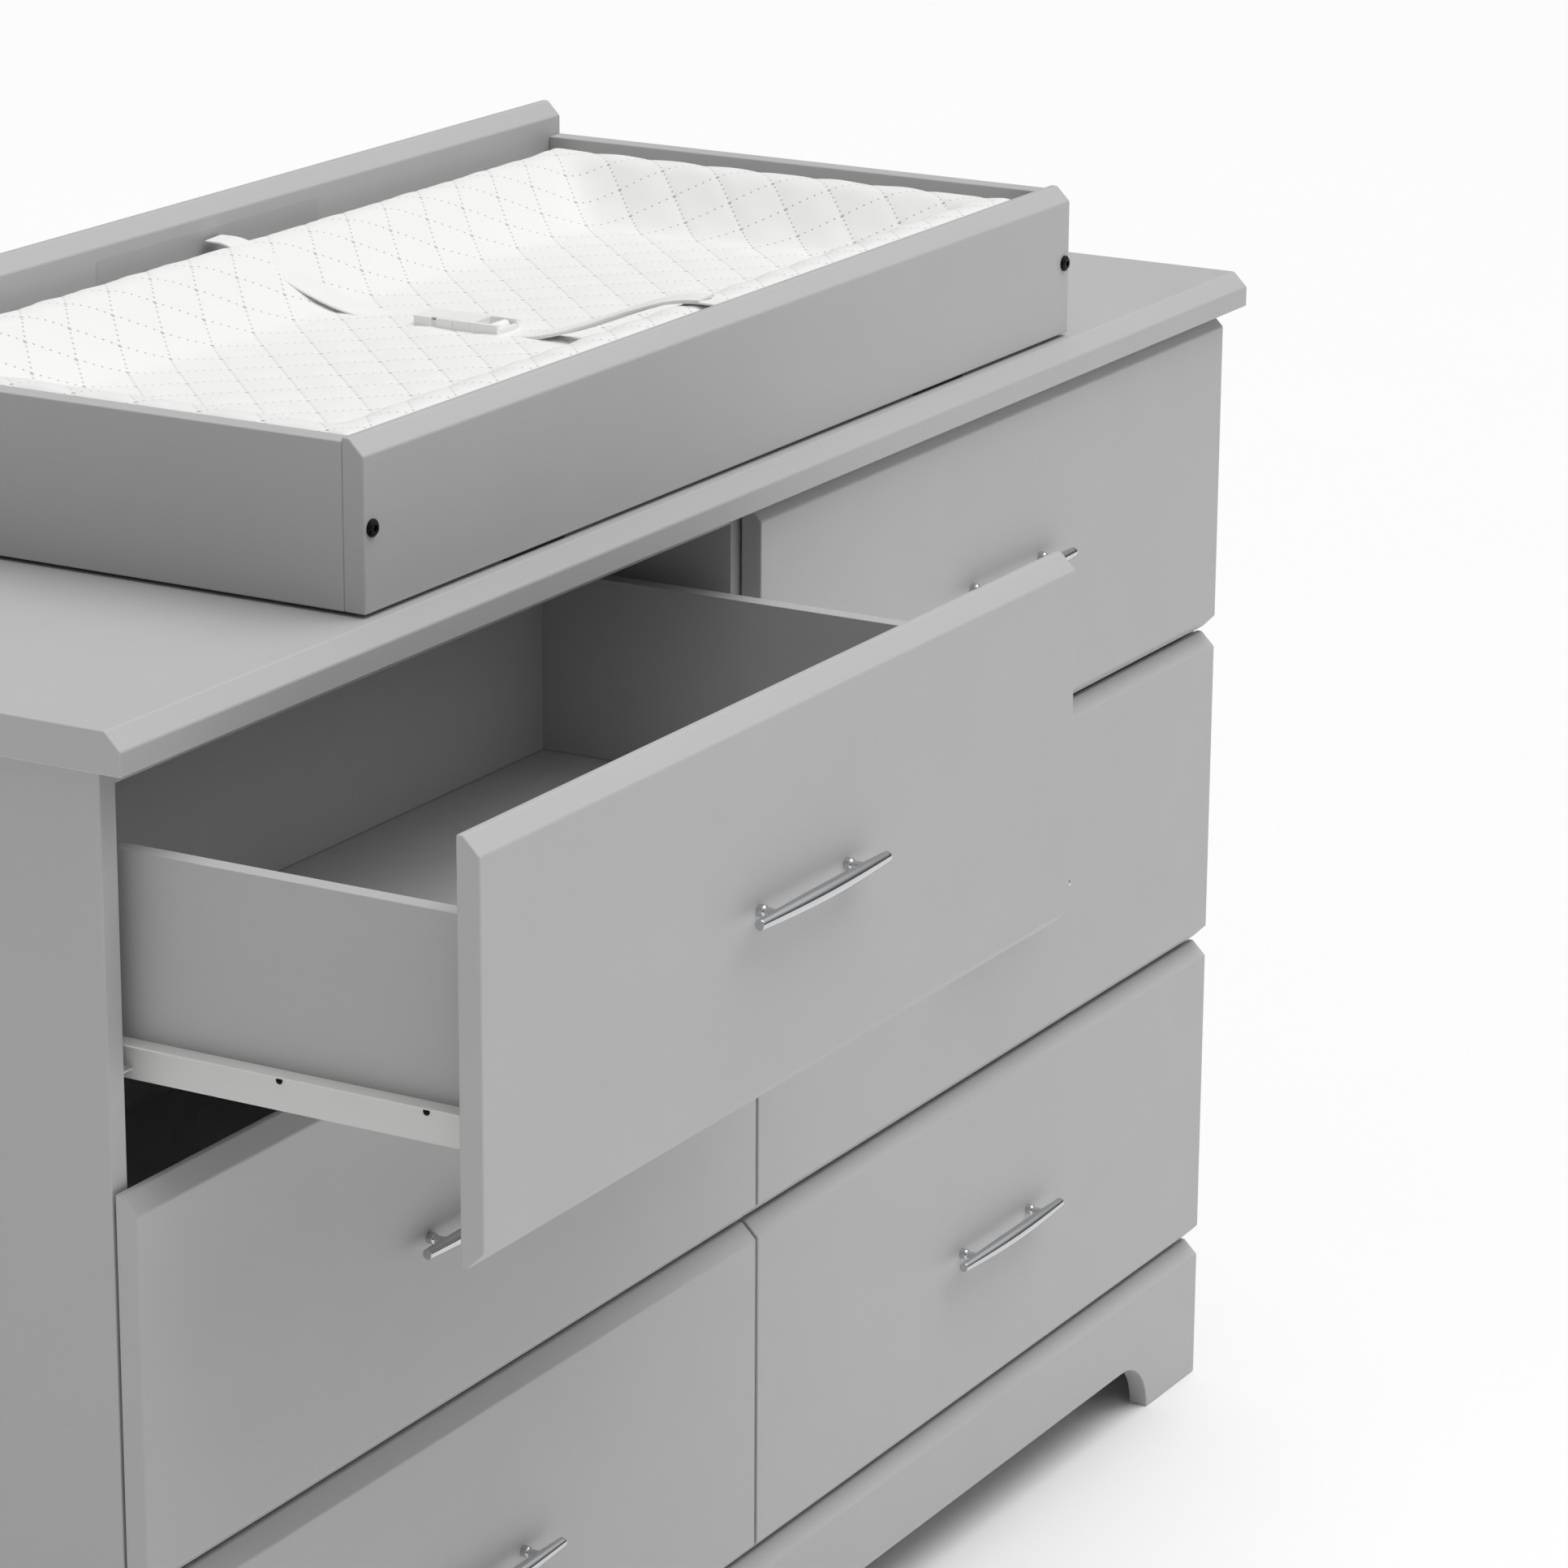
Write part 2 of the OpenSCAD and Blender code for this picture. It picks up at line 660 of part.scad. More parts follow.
// Socket half: a flat hollow body, cut away at both sides for the grips, and a frame for the webbing.
module buckle_socket() {
    half = buckle_w / 2;
    window = half - frame_wall;
    plate = half - socket_wall - 2 * arm_air;
    end = frame_l + socket_l;
    color(pale) place() translate([0, buckle_y, buckle_z]) union() {
        difference() {
            board([-half, half], [0, end], [0, buckle_t]);
            board([-window, window], [buckle_wall, frame_l - buckle_wall], [-cut, buckle_t + cut]);
            board([-window, window], [-cut, frame_l - buckle_wall], [-cut, slot_top]);
            board([-window, window], [-cut, buckle_wall + cut], [slot_top + cross_bar_h, buckle_t + cut]);
            board([-half + socket_wall, half - socket_wall], [frame_l + socket_floor, end + cut],
                  [buckle_wall, buckle_t - buckle_wall]);
            for (flip = [0, 1]) mirror([flip, 0, 0]) {
                board([plate, half + cut], [end - arm_l, end + cut], [-cut, buckle_t + cut]);
                board([half - seam, half + cut], [frame_l - seam, frame_l], [-cut, buckle_t + cut]);
            }
        }
        for (z = [0, buckle_t - lip_t]) board([-plate, plate], [end - cut, end + gap_l - arm_air], [z, z + lip_t]);
        translate([-window - cut, web_bar_y + web_bar_back, buckle_t - web_bar_r - web_bar_drop])
            pin_x(web_bar_r, 2 * (window + cut));
    }
}

// Tongue half: a shoulder block that holds the webbing, a guide blade and two springy arms with grips.
module buckle_tongue() {
    half = buckle_w / 2;
    arm_z = [buckle_wall + arm_air, buckle_t - buckle_wall - arm_air];
    arm_x = half - socket_wall - arm_air - arm_w;
    end = frame_l + socket_l;
    shoulder_y = end + gap_l;
    grip_y = end - arm_l + arm_air;
    color(pale) place() translate([0, buckle_y, buckle_z]) union() {
        board([-half, half], [shoulder_y, shoulder_y + shoulder_l], [0, buckle_t]);
        board([-blade_w / 2, blade_w / 2], [end - blade_l, shoulder_y + cut], arm_z);
        for (flip = [0, 1]) mirror([flip, 0, 0]) {
            board([arm_x, arm_x + arm_w], [grip_y, shoulder_y + cut], arm_z);
            board([arm_x + arm_w, half], [grip_y, end], [0, buckle_t]);
        }
    }
}

// ---- nodes ----

top_panel();
side_panel(-1);  // left_side_panel
side_panel(1);  // right_side_panel
centre_divider();
back_panels();
bottom_panel();
front_plinth();
case_rails();
runner_channels();
topper_front_board();
topper_back_board();
topper_end_boards();
topper_bolts();
topper_feet();
changing_pad();
restraint_strap();
buckle_socket();
buckle_tongue();
for (c = [0, 1], r = [0, 1, 2]) {
    drawer_front(c, r);
    drawer_box(c, r);
    drawer_bottom(c, r);
    drawer_handle(c, r);
    drawer_rails(c, r);
    rear_rollers(c, r);
    front_rollers(c, r);
}
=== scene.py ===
"""Looks of a grey nursery dresser with a lift-off topper, a quilted changing pad and chrome bar handles.

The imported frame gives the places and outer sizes, in metres. Sizes that belong to the finish are properties of
the add-on, in millimetres, and what shapes a piece inside its outer size is named below or beside the piece.
"""
import json
import math

import bmesh
import bpy
import numpy as np
from bpy.props import FloatProperty, IntProperty, PointerProperty, StringProperty
from mathutils import Matrix, Vector


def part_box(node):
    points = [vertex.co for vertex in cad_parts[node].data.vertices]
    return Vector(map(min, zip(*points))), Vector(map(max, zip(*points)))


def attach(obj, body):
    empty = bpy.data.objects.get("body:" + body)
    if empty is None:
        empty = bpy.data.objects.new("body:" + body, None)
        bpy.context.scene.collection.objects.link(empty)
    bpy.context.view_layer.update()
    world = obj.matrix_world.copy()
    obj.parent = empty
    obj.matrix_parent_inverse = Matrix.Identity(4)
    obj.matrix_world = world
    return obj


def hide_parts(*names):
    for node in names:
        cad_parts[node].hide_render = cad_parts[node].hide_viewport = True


bl_info = {
    "name": "Nursery dresser and changing pad",
    "version": (1, 0, 0),
    "blender": (4, 5, 0),
    "location": "3D View > Sidebar > Dresser",
    "description": "Builds the painted boards, handles, runners, pad, strap and buckle of a dresser",
    "category": "Object",
}

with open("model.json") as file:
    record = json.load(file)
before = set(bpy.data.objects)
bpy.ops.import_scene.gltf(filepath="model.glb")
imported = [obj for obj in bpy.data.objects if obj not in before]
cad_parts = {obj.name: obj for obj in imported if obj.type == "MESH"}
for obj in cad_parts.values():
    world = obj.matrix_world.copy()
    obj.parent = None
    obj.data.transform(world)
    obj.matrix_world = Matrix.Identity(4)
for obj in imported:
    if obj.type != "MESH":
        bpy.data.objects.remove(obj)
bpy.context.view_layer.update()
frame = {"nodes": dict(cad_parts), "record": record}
NODES = frame["nodes"]
RECORD = frame["record"]
SLOT_OF = {row["node"]: row["material_slot"] for row in RECORD["subparts"]}
BODY_OF = {n: body for body, names in RECORD["behaviour"]["bodies"].items() for n in names}
DRAWERS = [body for body in RECORD["behaviour"]["bodies"] if body.endswith("_drawer")]
MM = 0.001
MADE = {}

HALF_POST_SPACING = 50.8 * MM
BAR_END_R = 3.4 * MM
BAR_MIDDLE_R = 5 * MM
PAD_RIM_WIDTH = 14 * MM
PAD_SLOPE_WIDTH = 86 * MM
PAD_MIDDLE_HEIGHT = 59.5 * MM
THREAD_SPACING = 0.0012


# ---------------------------------------------------------------- sizes and colours


class PaintSettings(bpy.types.PropertyGroup):
    board: StringProperty(name="Board paint", description="sRGB hex of the lacquer on the boards",
                          default="B9B9B9")
    inside: StringProperty(name="Inside foil", description="sRGB hex of the drawer boxes", default="B4B4B4")
    edge_round: FloatProperty(name="Edge round", default=1.1, min=0.3, max=3,
                              description="Radius that sanding leaves on a board's edges, in mm")
    peel: FloatProperty(name="Orange peel", description="Width of the ripples that spraying leaves, in mm",
                        default=2.6, min=0.5, max=8)


class MetalSettings(bpy.types.PropertyGroup):
    chrome: StringProperty(name="Chrome", description="sRGB hex of the plating", default="C9CACC")
    rail: StringProperty(name="Runner coating", description="sRGB hex of the epoxy on the runners",
                         default="D9D9D7")
    bar_segments: IntProperty(name="Bar segments", description="Facets round the handle's bar", default=40,
                              min=12, max=96)


class PadSettings(bpy.types.PropertyGroup):
    cover: StringProperty(name="Cover", description="sRGB hex of the quilted cover", default="ECECEB")
    quilt: FloatProperty(name="Quilt spacing", description="Distance between neighbouring weld lines, in mm",
                         default=32.3, min=10, max=80)
    dots: IntProperty(name="Dots per side", description="Weld dots along one side of a diamond", default=6,
                      min=2, max=20)
    puff: FloatProperty(name="Puff", description="Height of a diamond above its weld lines, in mm",
                        default=0.9, min=0, max=6)
    grid: FloatProperty(name="Cover grid", description="Spacing of the simulated cloth's points, in mm",
                        default=9, min=5, max=25)
    cap: FloatProperty(name="Swell cap", description="The most that a point of the cover may swell, in mm",
                       default=5, min=0, max=20)


class StageSettings(bpy.types.PropertyGroup):
    floor: StringProperty(name="Floor", description="sRGB hex of the floor", default="F6F6F6")
    sky: FloatProperty(name="Sky", description="Strength of the studio's surroundings", default=0.72,
                       min=0, max=4)
    key: FloatProperty(name="Key", description="Strength of the wide overhead lamp", default=1.85,
                       min=0, max=20)
    side: FloatProperty(name="Side", description="Strength of the weak lamp on the left", default=0.1,
                        min=0, max=20)


SETTINGS = {"paint": PaintSettings, "metal": MetalSettings, "pad": PadSettings, "stage": StageSettings}


def settings(group):
    return getattr(bpy.context.scene, "dresser_" + group)


# ---------------------------------------------------------------- meshes


def new_object(name, mesh, material):
    obj = bpy.data.objects.new(name, mesh)
    bpy.context.scene.collection.objects.link(obj)
    mesh.materials.clear()
    mesh.materials.append(material)
    return obj


def make_mesh(name, verts, faces):
    mesh = bpy.data.meshes.new(name)
    mesh.from_pydata([tuple(v) for v in verts], [], [tuple(f) for f in faces])
    mesh.update()
    return mesh


def frozen(obj, name=None):
    """Replaces an object's mesh by what its modifiers make of it, and drops the modifiers."""
    bpy.context.view_layer.update()
    evaluated = obj.evaluated_get(bpy.context.evaluated_depsgraph_get())
    mesh = bpy.data.meshes.new_from_object(evaluated)
    obj.modifiers.clear()
    obj.data = mesh
    mesh.name = name or obj.name
    return obj


def smooth(mesh):
    for polygon in mesh.polygons:
        polygon.use_smooth = True


def weighted(obj, angle=50):
    """Smooth shading that keeps large faces flat, with real creases left sharp."""
    smooth(obj.data)
    bm = bmesh.new()
    bm.from_mesh(obj.data)
    for edge in bm.edges:
        edge.smooth = not edge.is_manifold or edge.calc_face_angle(0) < math.radians(angle)
    bm.to_mesh(obj.data)
    bm.free()
    modifier = obj.modifiers.new("weights", "WEIGHTED_NORMAL")
    modifier.keep_sharp = True
    modifier.weight = 80
    return frozen(obj)


def copied(node, keep=lambda island: True):
    """A bmesh copy of a frame node, its loose triangles merged, with only the islands that keep() accepts."""
    bm = bmesh.new()
    bm.from_mesh(NODES[node].data)
    bmesh.ops.remove_doubles(bm, verts=bm.verts, dist=1e-5)
    left = set(bm.verts)
    while left:
        island, front = set(), [left.pop()]
        while front:
            vert = front.pop()
            island.add(vert)
            for edge in vert.link_edges:
                other = edge.other_vert(vert)
                if other in left:
                    left.discard(other)
                    front.append(other)
        if not keep(island):
            bmesh.ops.delete(bm, geom=list(island), context="VERTS")
            left = {v for v in left if v.is_valid}
    bmesh.ops.dissolve_limit(bm, angle_limit=math.radians(0.5), verts=bm.verts, edges=bm.edges)
    return bm


def rounded(bm, radius, shortest, segments=3, angle=30):
    """Rounds every crease that is longer than shortest, so that bores keep their rims."""
    edges = [e for e in bm.edges
             if e.is_manifold and e.calc_face_angle(0) > math.radians(angle) and e.calc_length() > shortest]
    bmesh.ops.bevel(bm, geom=edges, offset=radius, segments=segments, profile=0.5, affect="EDGES",
                    clamp_overlap=True, harden_normals=False)


def placed(obj, body, *nodes, slot=None):
    """A finished piece rides on its body and stands for its CAD nodes, which it hides."""
    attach(obj, body)
    if nodes:
        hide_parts(*nodes)
    return obj


def rounded_copy(node, name, material, radius, shortest=0.004, keep=lambda island: True, segments=3):
    bm = copied(node, keep)
    rounded(bm, radius, shortest, segments)
    mesh = bpy.data.meshes.new(name)
    bm.to_mesh(mesh)
    bm.free()
    return weighted(new_object(name, mesh, material))


def revolve(profile, segments, place):
    """Closed surface of revolution: profile is (radius, height) from pole to pole, and place moves it."""
    verts, faces = [], []
    for r, h in profile[1:-1]:
        for k in range(segments):
            turn = 2 * math.pi * k / segments
            verts.append(place @ Vector((r * math.cos(turn), r * math.sin(turn), h)))
    rings = len(profile) - 2
    for i in range(rings - 1):
        for k in range(segments):
            n = (k + 1) % segments
            faces.append((i * segments + k, i * segments + n, (i + 1) * segments + n, (i + 1) * segments + k))
    for pole, ring, flip in ((profile[0], 0, True), (profile[-1], rings - 1, False)):
        verts.append(place @ Vector((0, 0, pole[1])))
        for k in range(segments):
            n = (k + 1) % segments
            a, b = ring * segments + k, ring * segments + n
            faces.append((len(verts) - 1, b, a) if flip else (len(verts) - 1, a, b))
    return verts, faces


def joined(name, parts, material):
    """One mesh of several (verts, faces) parts, with its normals turned outwards."""
    verts, faces = [], []
    for part_verts, part_faces in parts:
        offset = len(verts)
        verts += list(part_verts)
        faces += [tuple(i + offset for i in f) for f in part_faces]
    mesh = make_mesh(name, verts, faces)
    bm = bmesh.new()
    bm.from_mesh(mesh)
    bmesh.ops.recalc_face_normals(bm, faces=bm.faces)
    bm.to_mesh(mesh)
    bm.free()
    return new_object(name, mesh, material)


# ---------------------------------------------------------------- materials


def linear(hex_code):
    """Linear RGBA of an sRGB hex colour."""
    channels = [int(hex_code[i:i + 2], 16) / 255 for i in (0, 2, 4)]
    return (*[c / 12.92 if c <= 0.04045 else ((c + 0.055) / 1.055) ** 2.4 for c in channels], 1)


def add(tree, kind, sockets=None, **values):
    """Adds one node. values are its settings, and sockets gives inputs a value or another node's output."""
    node = tree.nodes.new(kind)
    for key, value in values.items():
        setattr(node, key, value)
    for key, value in (sockets or {}).items():
        if isinstance(value, bpy.types.NodeSocket):
            tree.links.new(value, node.inputs[key])
        else:
            node.inputs[key].default_value = value
    return node


def material(name, **shader):
    """A material with one Principled shader, whose constant inputs are given by name.

    The frame brings plain materials that may have the same names, so only the ones made here are used again.
    """
    if name in MADE:
        return MADE[name], None, None
    made = MADE[name] = bpy.data.materials.new(name + "_finish")
    made.use_nodes = True
    tree = made.node_tree
    tree.nodes.clear()
    constants = {key.replace("_", " "): value for key, value in shader.items()}
    bsdf = add(tree, "ShaderNodeBsdfPrincipled", constants)
    add(tree, "ShaderNodeOutputMaterial", {"Surface": bsdf.outputs[0]})
    return made, tree, bsdf


def mottled(tree, bsdf, hex_code, size, share, seed=0.0):
    """Colour that drifts by a small share over patches of the given size in metres."""
    place = add(tree, "ShaderNodeTexCoord").outputs["Object"]
    noise = add(tree, "ShaderNodeTexNoise", {"Vector": place, "W": seed, "Scale": 1 / size, "Detail": 3.0},
                noise_dimensions="4D")
    colour = linear(hex_code)
    low = tuple(c * (1 - share) for c in colour[:3]) + (1,)
    high = tuple(min(1, c * (1 + share)) for c in colour[:3]) + (1,)
    mix = add(tree, "ShaderNodeMix", {"Factor": noise.outputs["Fac"]}, data_type="RGBA")
    for key, value in (("A", low), ("B", high)):
        [s for s in mix.inputs if s.name == key and s.type == "RGBA"][0].default_value = value
    tree.links.new([s for s in mix.outputs if s.type == "RGBA"][0], bsdf.inputs["Base Color"])
    return place


def rippled(tree, bsdf, place, size, height, detail=2.0, link=None):
    """Fine relief of the given width and height in metres, which may lie over another bump."""
    noise = add(tree, "ShaderNodeTexNoise", {"Vector": place, "Scale": 1 / size, "Detail": detail})
    sockets = {"Height": noise.outputs["Fac"], "Strength": 1.0, "Distance": height}
    if link:
        sockets["Normal"] = link
    bump = add(tree, "ShaderNodeBump", sockets)
    tree.links.new(bump.outputs["Normal"], bsdf.inputs["Normal"])
    return noise, bump.outputs["Normal"]


def uneven(tree, bsdf, place, size, low, high):
    """Roughness that wanders between two values over patches of the given size in metres."""
    noise = add(tree, "ShaderNodeTexNoise", {"Vector": place, "Scale": 1 / size, "Detail": 4.0})
    reach = add(tree, "ShaderNodeMapRange", {"Value": noise.outputs["Fac"], "From Min": 0.3, "From Max": 0.7,
                                             "To Min": low, "To Max": high})
    tree.links.new(reach.outputs["Result"], bsdf.inputs["Roughness"])


def sprayed_lacquer():
    """Satin lacquer sprayed on MDF: an even grey with a faint orange peel that breaks up soft highlights."""
    made, tree, bsdf = material("satin_lacquer_on_mdf", Specular_IOR_Level=0.28)
    if tree:
        paint = settings("paint")
        place = mottled(tree, bsdf, paint.board, 0.12, 0.02)
        uneven(tree, bsdf, place, 0.05, 0.44, 0.54)
        rippled(tree, bsdf, place, paint.peel * MM, 0.00002)
    return made


def foil_wrap():
    """Matt paper foil on particle board, as drawer boxes have: flat, with fine chips just showing through."""
    made, tree, bsdf = material("paper_foil_on_board", Specular_IOR_Level=0.35)
    if tree:
        place = mottled(tree, bsdf, settings("paint").inside, 0.08, 0.025)
        uneven(tree, bsdf, place, 0.02, 0.55, 0.68)
        rippled(tree, bsdf, place, 0.0016, 0.00004, 4.0)
    return made


def painted_hardboard():
    """Thin hardboard painted on its smooth side: dull, with short soft fibres in the film."""
    made, tree, bsdf = material("painted_hardboard", Specular_IOR_Level=0.3)
    if tree:
        place = mottled(tree, bsdf, settings("paint").inside, 0.03, 0.035, 2.0)
        uneven(tree, bsdf, place, 0.03, 0.60, 0.75)
        rippled(tree, bsdf, place, 0.0022, 0.00006, 6.0)
    return made


def polished_chrome():
    """Bright chrome plating, buffed: a mirror with hair-fine haze from polishing."""
    made, tree, bsdf = material("polished_chrome_plate", Metallic=1.0)
    if tree:
        place = mottled(tree, bsdf, settings("metal").chrome, 0.02, 0.02)
        uneven(tree, bsdf, place, 0.004, 0.07, 0.13)
        rippled(tree, bsdf, place, 0.006, 0.000012)
    return made


def epoxy_steel():
    """Folded sheet steel dipped in pale epoxy powder: low gloss with a fine pebbled skin."""
    made, tree, bsdf = material("epoxy_coated_steel", Specular_IOR_Level=0.5)
    if tree:
        place = mottled(tree, bsdf, settings("metal").rail, 0.03, 0.03)
        uneven(tree, bsdf, place, 0.01, 0.30, 0.42)
        rippled(tree, bsdf, place, 0.0009, 0.00002, 3.0)
    return made


def dark_steel(name="black_oxide_steel", shade="1B1B1C"):
    """Blackened steel of bolts and screws: dark, oily, with lighter rubbed spots."""
    made, tree, bsdf = material(name, Metallic=0.85)
    if tree:
        place = mottled(tree, bsdf, shade, 0.002, 0.35)
        uneven(tree, bsdf, place, 0.001, 0.35, 0.5)
        rippled(tree, bsdf, place, 0.0006, 0.00001)
    return made


def zinc_steel():
    """Bright zinc on the handle screws: a cool silver with faint crystals."""
    return dark_steel("zinc_plated_steel", "B4B7BA")


def moulded_nylon():
    """Injection-moulded nylon rollers: milky white with a faint sheen and mould grain."""
    made, tree, bsdf = material("moulded_nylon", Specular_IOR_Level=0.5, Subsurface_Weight=0.05)
    if tree:
        place = mottled(tree, bsdf, "ECEBE6", 0.01, 0.02)
        uneven(tree, bsdf, place, 0.004, 0.35, 0.45)
        rippled(tree, bsdf, place, 0.0005, 0.00001)
    return made


def moulded_acetal():
    """Acetal buckle, moulded: white, slippery, with a fine spark-eroded grain."""
    made, tree, bsdf = material("moulded_acetal", Specular_IOR_Level=0.5)
    if tree:
        place = mottled(tree, bsdf, "EFEFEE", 0.02, 0.012)
        uneven(tree, bsdf, place, 0.003, 0.32, 0.42)
        rippled(tree, bsdf, place, 0.0006, 0.000012, 3.0)
    return made


def soft_rubber():
    """Black rubber strip: dead matt, with dust in its pores."""
    made, tree, bsdf = material("black_rubber", Specular_IOR_Level=0.3)
    if tree:
        place = mottled(tree, bsdf, "1A1A1A", 0.004, 0.25)
        uneven(tree, bsdf, place, 0.002, 0.75, 0.9)
        rippled(tree, bsdf, place, 0.0005, 0.00003, 4.0)
    return made


def paper_label():
    """Blank label in the board's own grey, a touch lighter and smoother than the lacquer."""
    made, tree, bsdf = material("blank_label", Specular_IOR_Level=0.4)
    if tree:
        place = mottled(tree, bsdf, "B2B2B2", 0.03, 0.01)
        uneven(tree, bsdf, place, 0.01, 0.5, 0.58)
    return made


def quilted_cover():
    """Wipe-clean cover, welded in dotted diamonds: a soft white whose small pits along the weld lines are greyed
    by painted shade, and sunk by a bump.
    """
    made, tree, bsdf = material("quilted_cover", Specular_IOR_Level=0.3, Sheen_Weight=0.05,
                                Sheen_Roughness=0.5)
    if not tree:
        return made
    pad = settings("pad")
    flat = add(tree, "ShaderNodeAttribute", attribute_name="quilt").outputs["Vector"]
    split = add(tree, "ShaderNodeSeparateXYZ", {"Vector": flat})

    def maths(kind, *values):
        return add(tree, "ShaderNodeMath", dict(enumerate(values)), operation=kind).outputs[0]

    def pits(along, across, spacing, radius):
        """1 at each dot of a row: along runs on the line, across is the distance to it in line spacings."""
        half = 0.5 * spacing
        u = maths("SUBTRACT", half, maths("PINGPONG", maths("ADD", along, half), half))
        v = maths("SUBTRACT", 0.5, maths("PINGPONG", maths("ADD", across, 0.5), 0.5))
        far = maths("SQRT", maths("ADD", maths("POWER", u, 2.0), maths("POWER", v, 2.0)))
        fade = {"Value": far, "From Min": radius * 0.35, "From Max": radius, "To Min": 1.0, "To Max": 0.0}
        return add(tree, "ShaderNodeMapRange", fade, interpolation_type="SMOOTHSTEP").outputs[0]

    a, b = split.outputs["X"], split.outputs["Y"]
    small = 1.0 / pad.quilt
    large = 1.9 / pad.quilt
    rows = maths("MAXIMUM", pits(b, a, 1 / pad.dots, small), pits(a, b, 1 / pad.dots, small))
    mask = maths("MAXIMUM", rows, pits(a, b, 1.0, large))
    place = add(tree, "ShaderNodeTexCoord").outputs["Object"]
    cloudy = add(tree, "ShaderNodeTexNoise", {"Vector": place, "Scale": 1 / 0.06, "Detail": 3.0})
    white = linear(pad.cover)
    # Painted shade: the colour darkens towards 0.42 of the white in the weld pits and at the crossings, where
    # their hollows would be shaded.
    pit_shade_mix = add(tree, "ShaderNodeMix", data_type="RGBA")
    sockets = {s.identifier: s for s in pit_shade_mix.inputs}
    sockets["A_Color"].default_value = white
    sockets["B_Color"].default_value = tuple(c * 0.42 for c in white[:3]) + (1,)
    painted_pit_shade = maths("MULTIPLY", mask, 0.8)
    drift = maths("MULTIPLY", cloudy.outputs["Fac"], 0.02)
    tree.links.new(maths("ADD", painted_pit_shade, drift), sockets["Factor_Float"])
    tree.links.new([s for s in pit_shade_mix.outputs if s.type == "RGBA"][0], bsdf.inputs["Base Color"])
    pit = add(tree, "ShaderNodeBump", {"Height": mask, "Strength": 0.6, "Distance": 0.0006}, invert=True)
    uneven(tree, bsdf, place, 0.02, 0.55, 0.68)
    rippled(tree, bsdf, place, 0.0011, 0.00005, 3.0, pit.outputs["Normal"])
    return made


def woven_webbing():
    """Polyester webbing: plain weave whose threads stand as fine ribs in both directions."""
    made, tree, bsdf = material("woven_webbing", Specular_IOR_Level=0.25, Sheen_Weight=0.2,
                                Sheen_Roughness=0.4)
    if not tree:
        return made
    place = mottled(tree, bsdf, "F0F0EF", 0.01, 0.02)
    uv = add(tree, "ShaderNodeUVMap", uv_map="band").outputs["UV"]
    threads = math.pi / 10 / THREAD_SPACING
    warp = add(tree, "ShaderNodeTexWave", {"Vector": uv, "Scale": threads, "Distortion": 0.0},
               wave_type="BANDS", bands_direction="X")
    weft = add(tree, "ShaderNodeTexWave", {"Vector": uv, "Scale": threads, "Distortion": 0.0},
               wave_type="BANDS", bands_direction="Y")
    weave = add(tree, "ShaderNodeMath", {0: warp.outputs["Fac"], 1: weft.outputs["Fac"]}, operation="MAXIMUM")
    bump = add(tree, "ShaderNodeBump", {"Height": weave.outputs[0], "Strength": 0.7, "Distance": 0.0002})
    uneven(tree, bsdf, place, 0.002, 0.6, 0.8)
    tree.links.new(bump.outputs["Normal"], bsdf.inputs["Normal"])
    return made


# ---------------------------------------------------------------- stage


class Builder:
    """What every operator here shares: it either finishes or raises."""
    bl_options = {"REGISTER", "UNDO"}

    def execute(self, context):
        self.build()
        return {"FINISHED"}


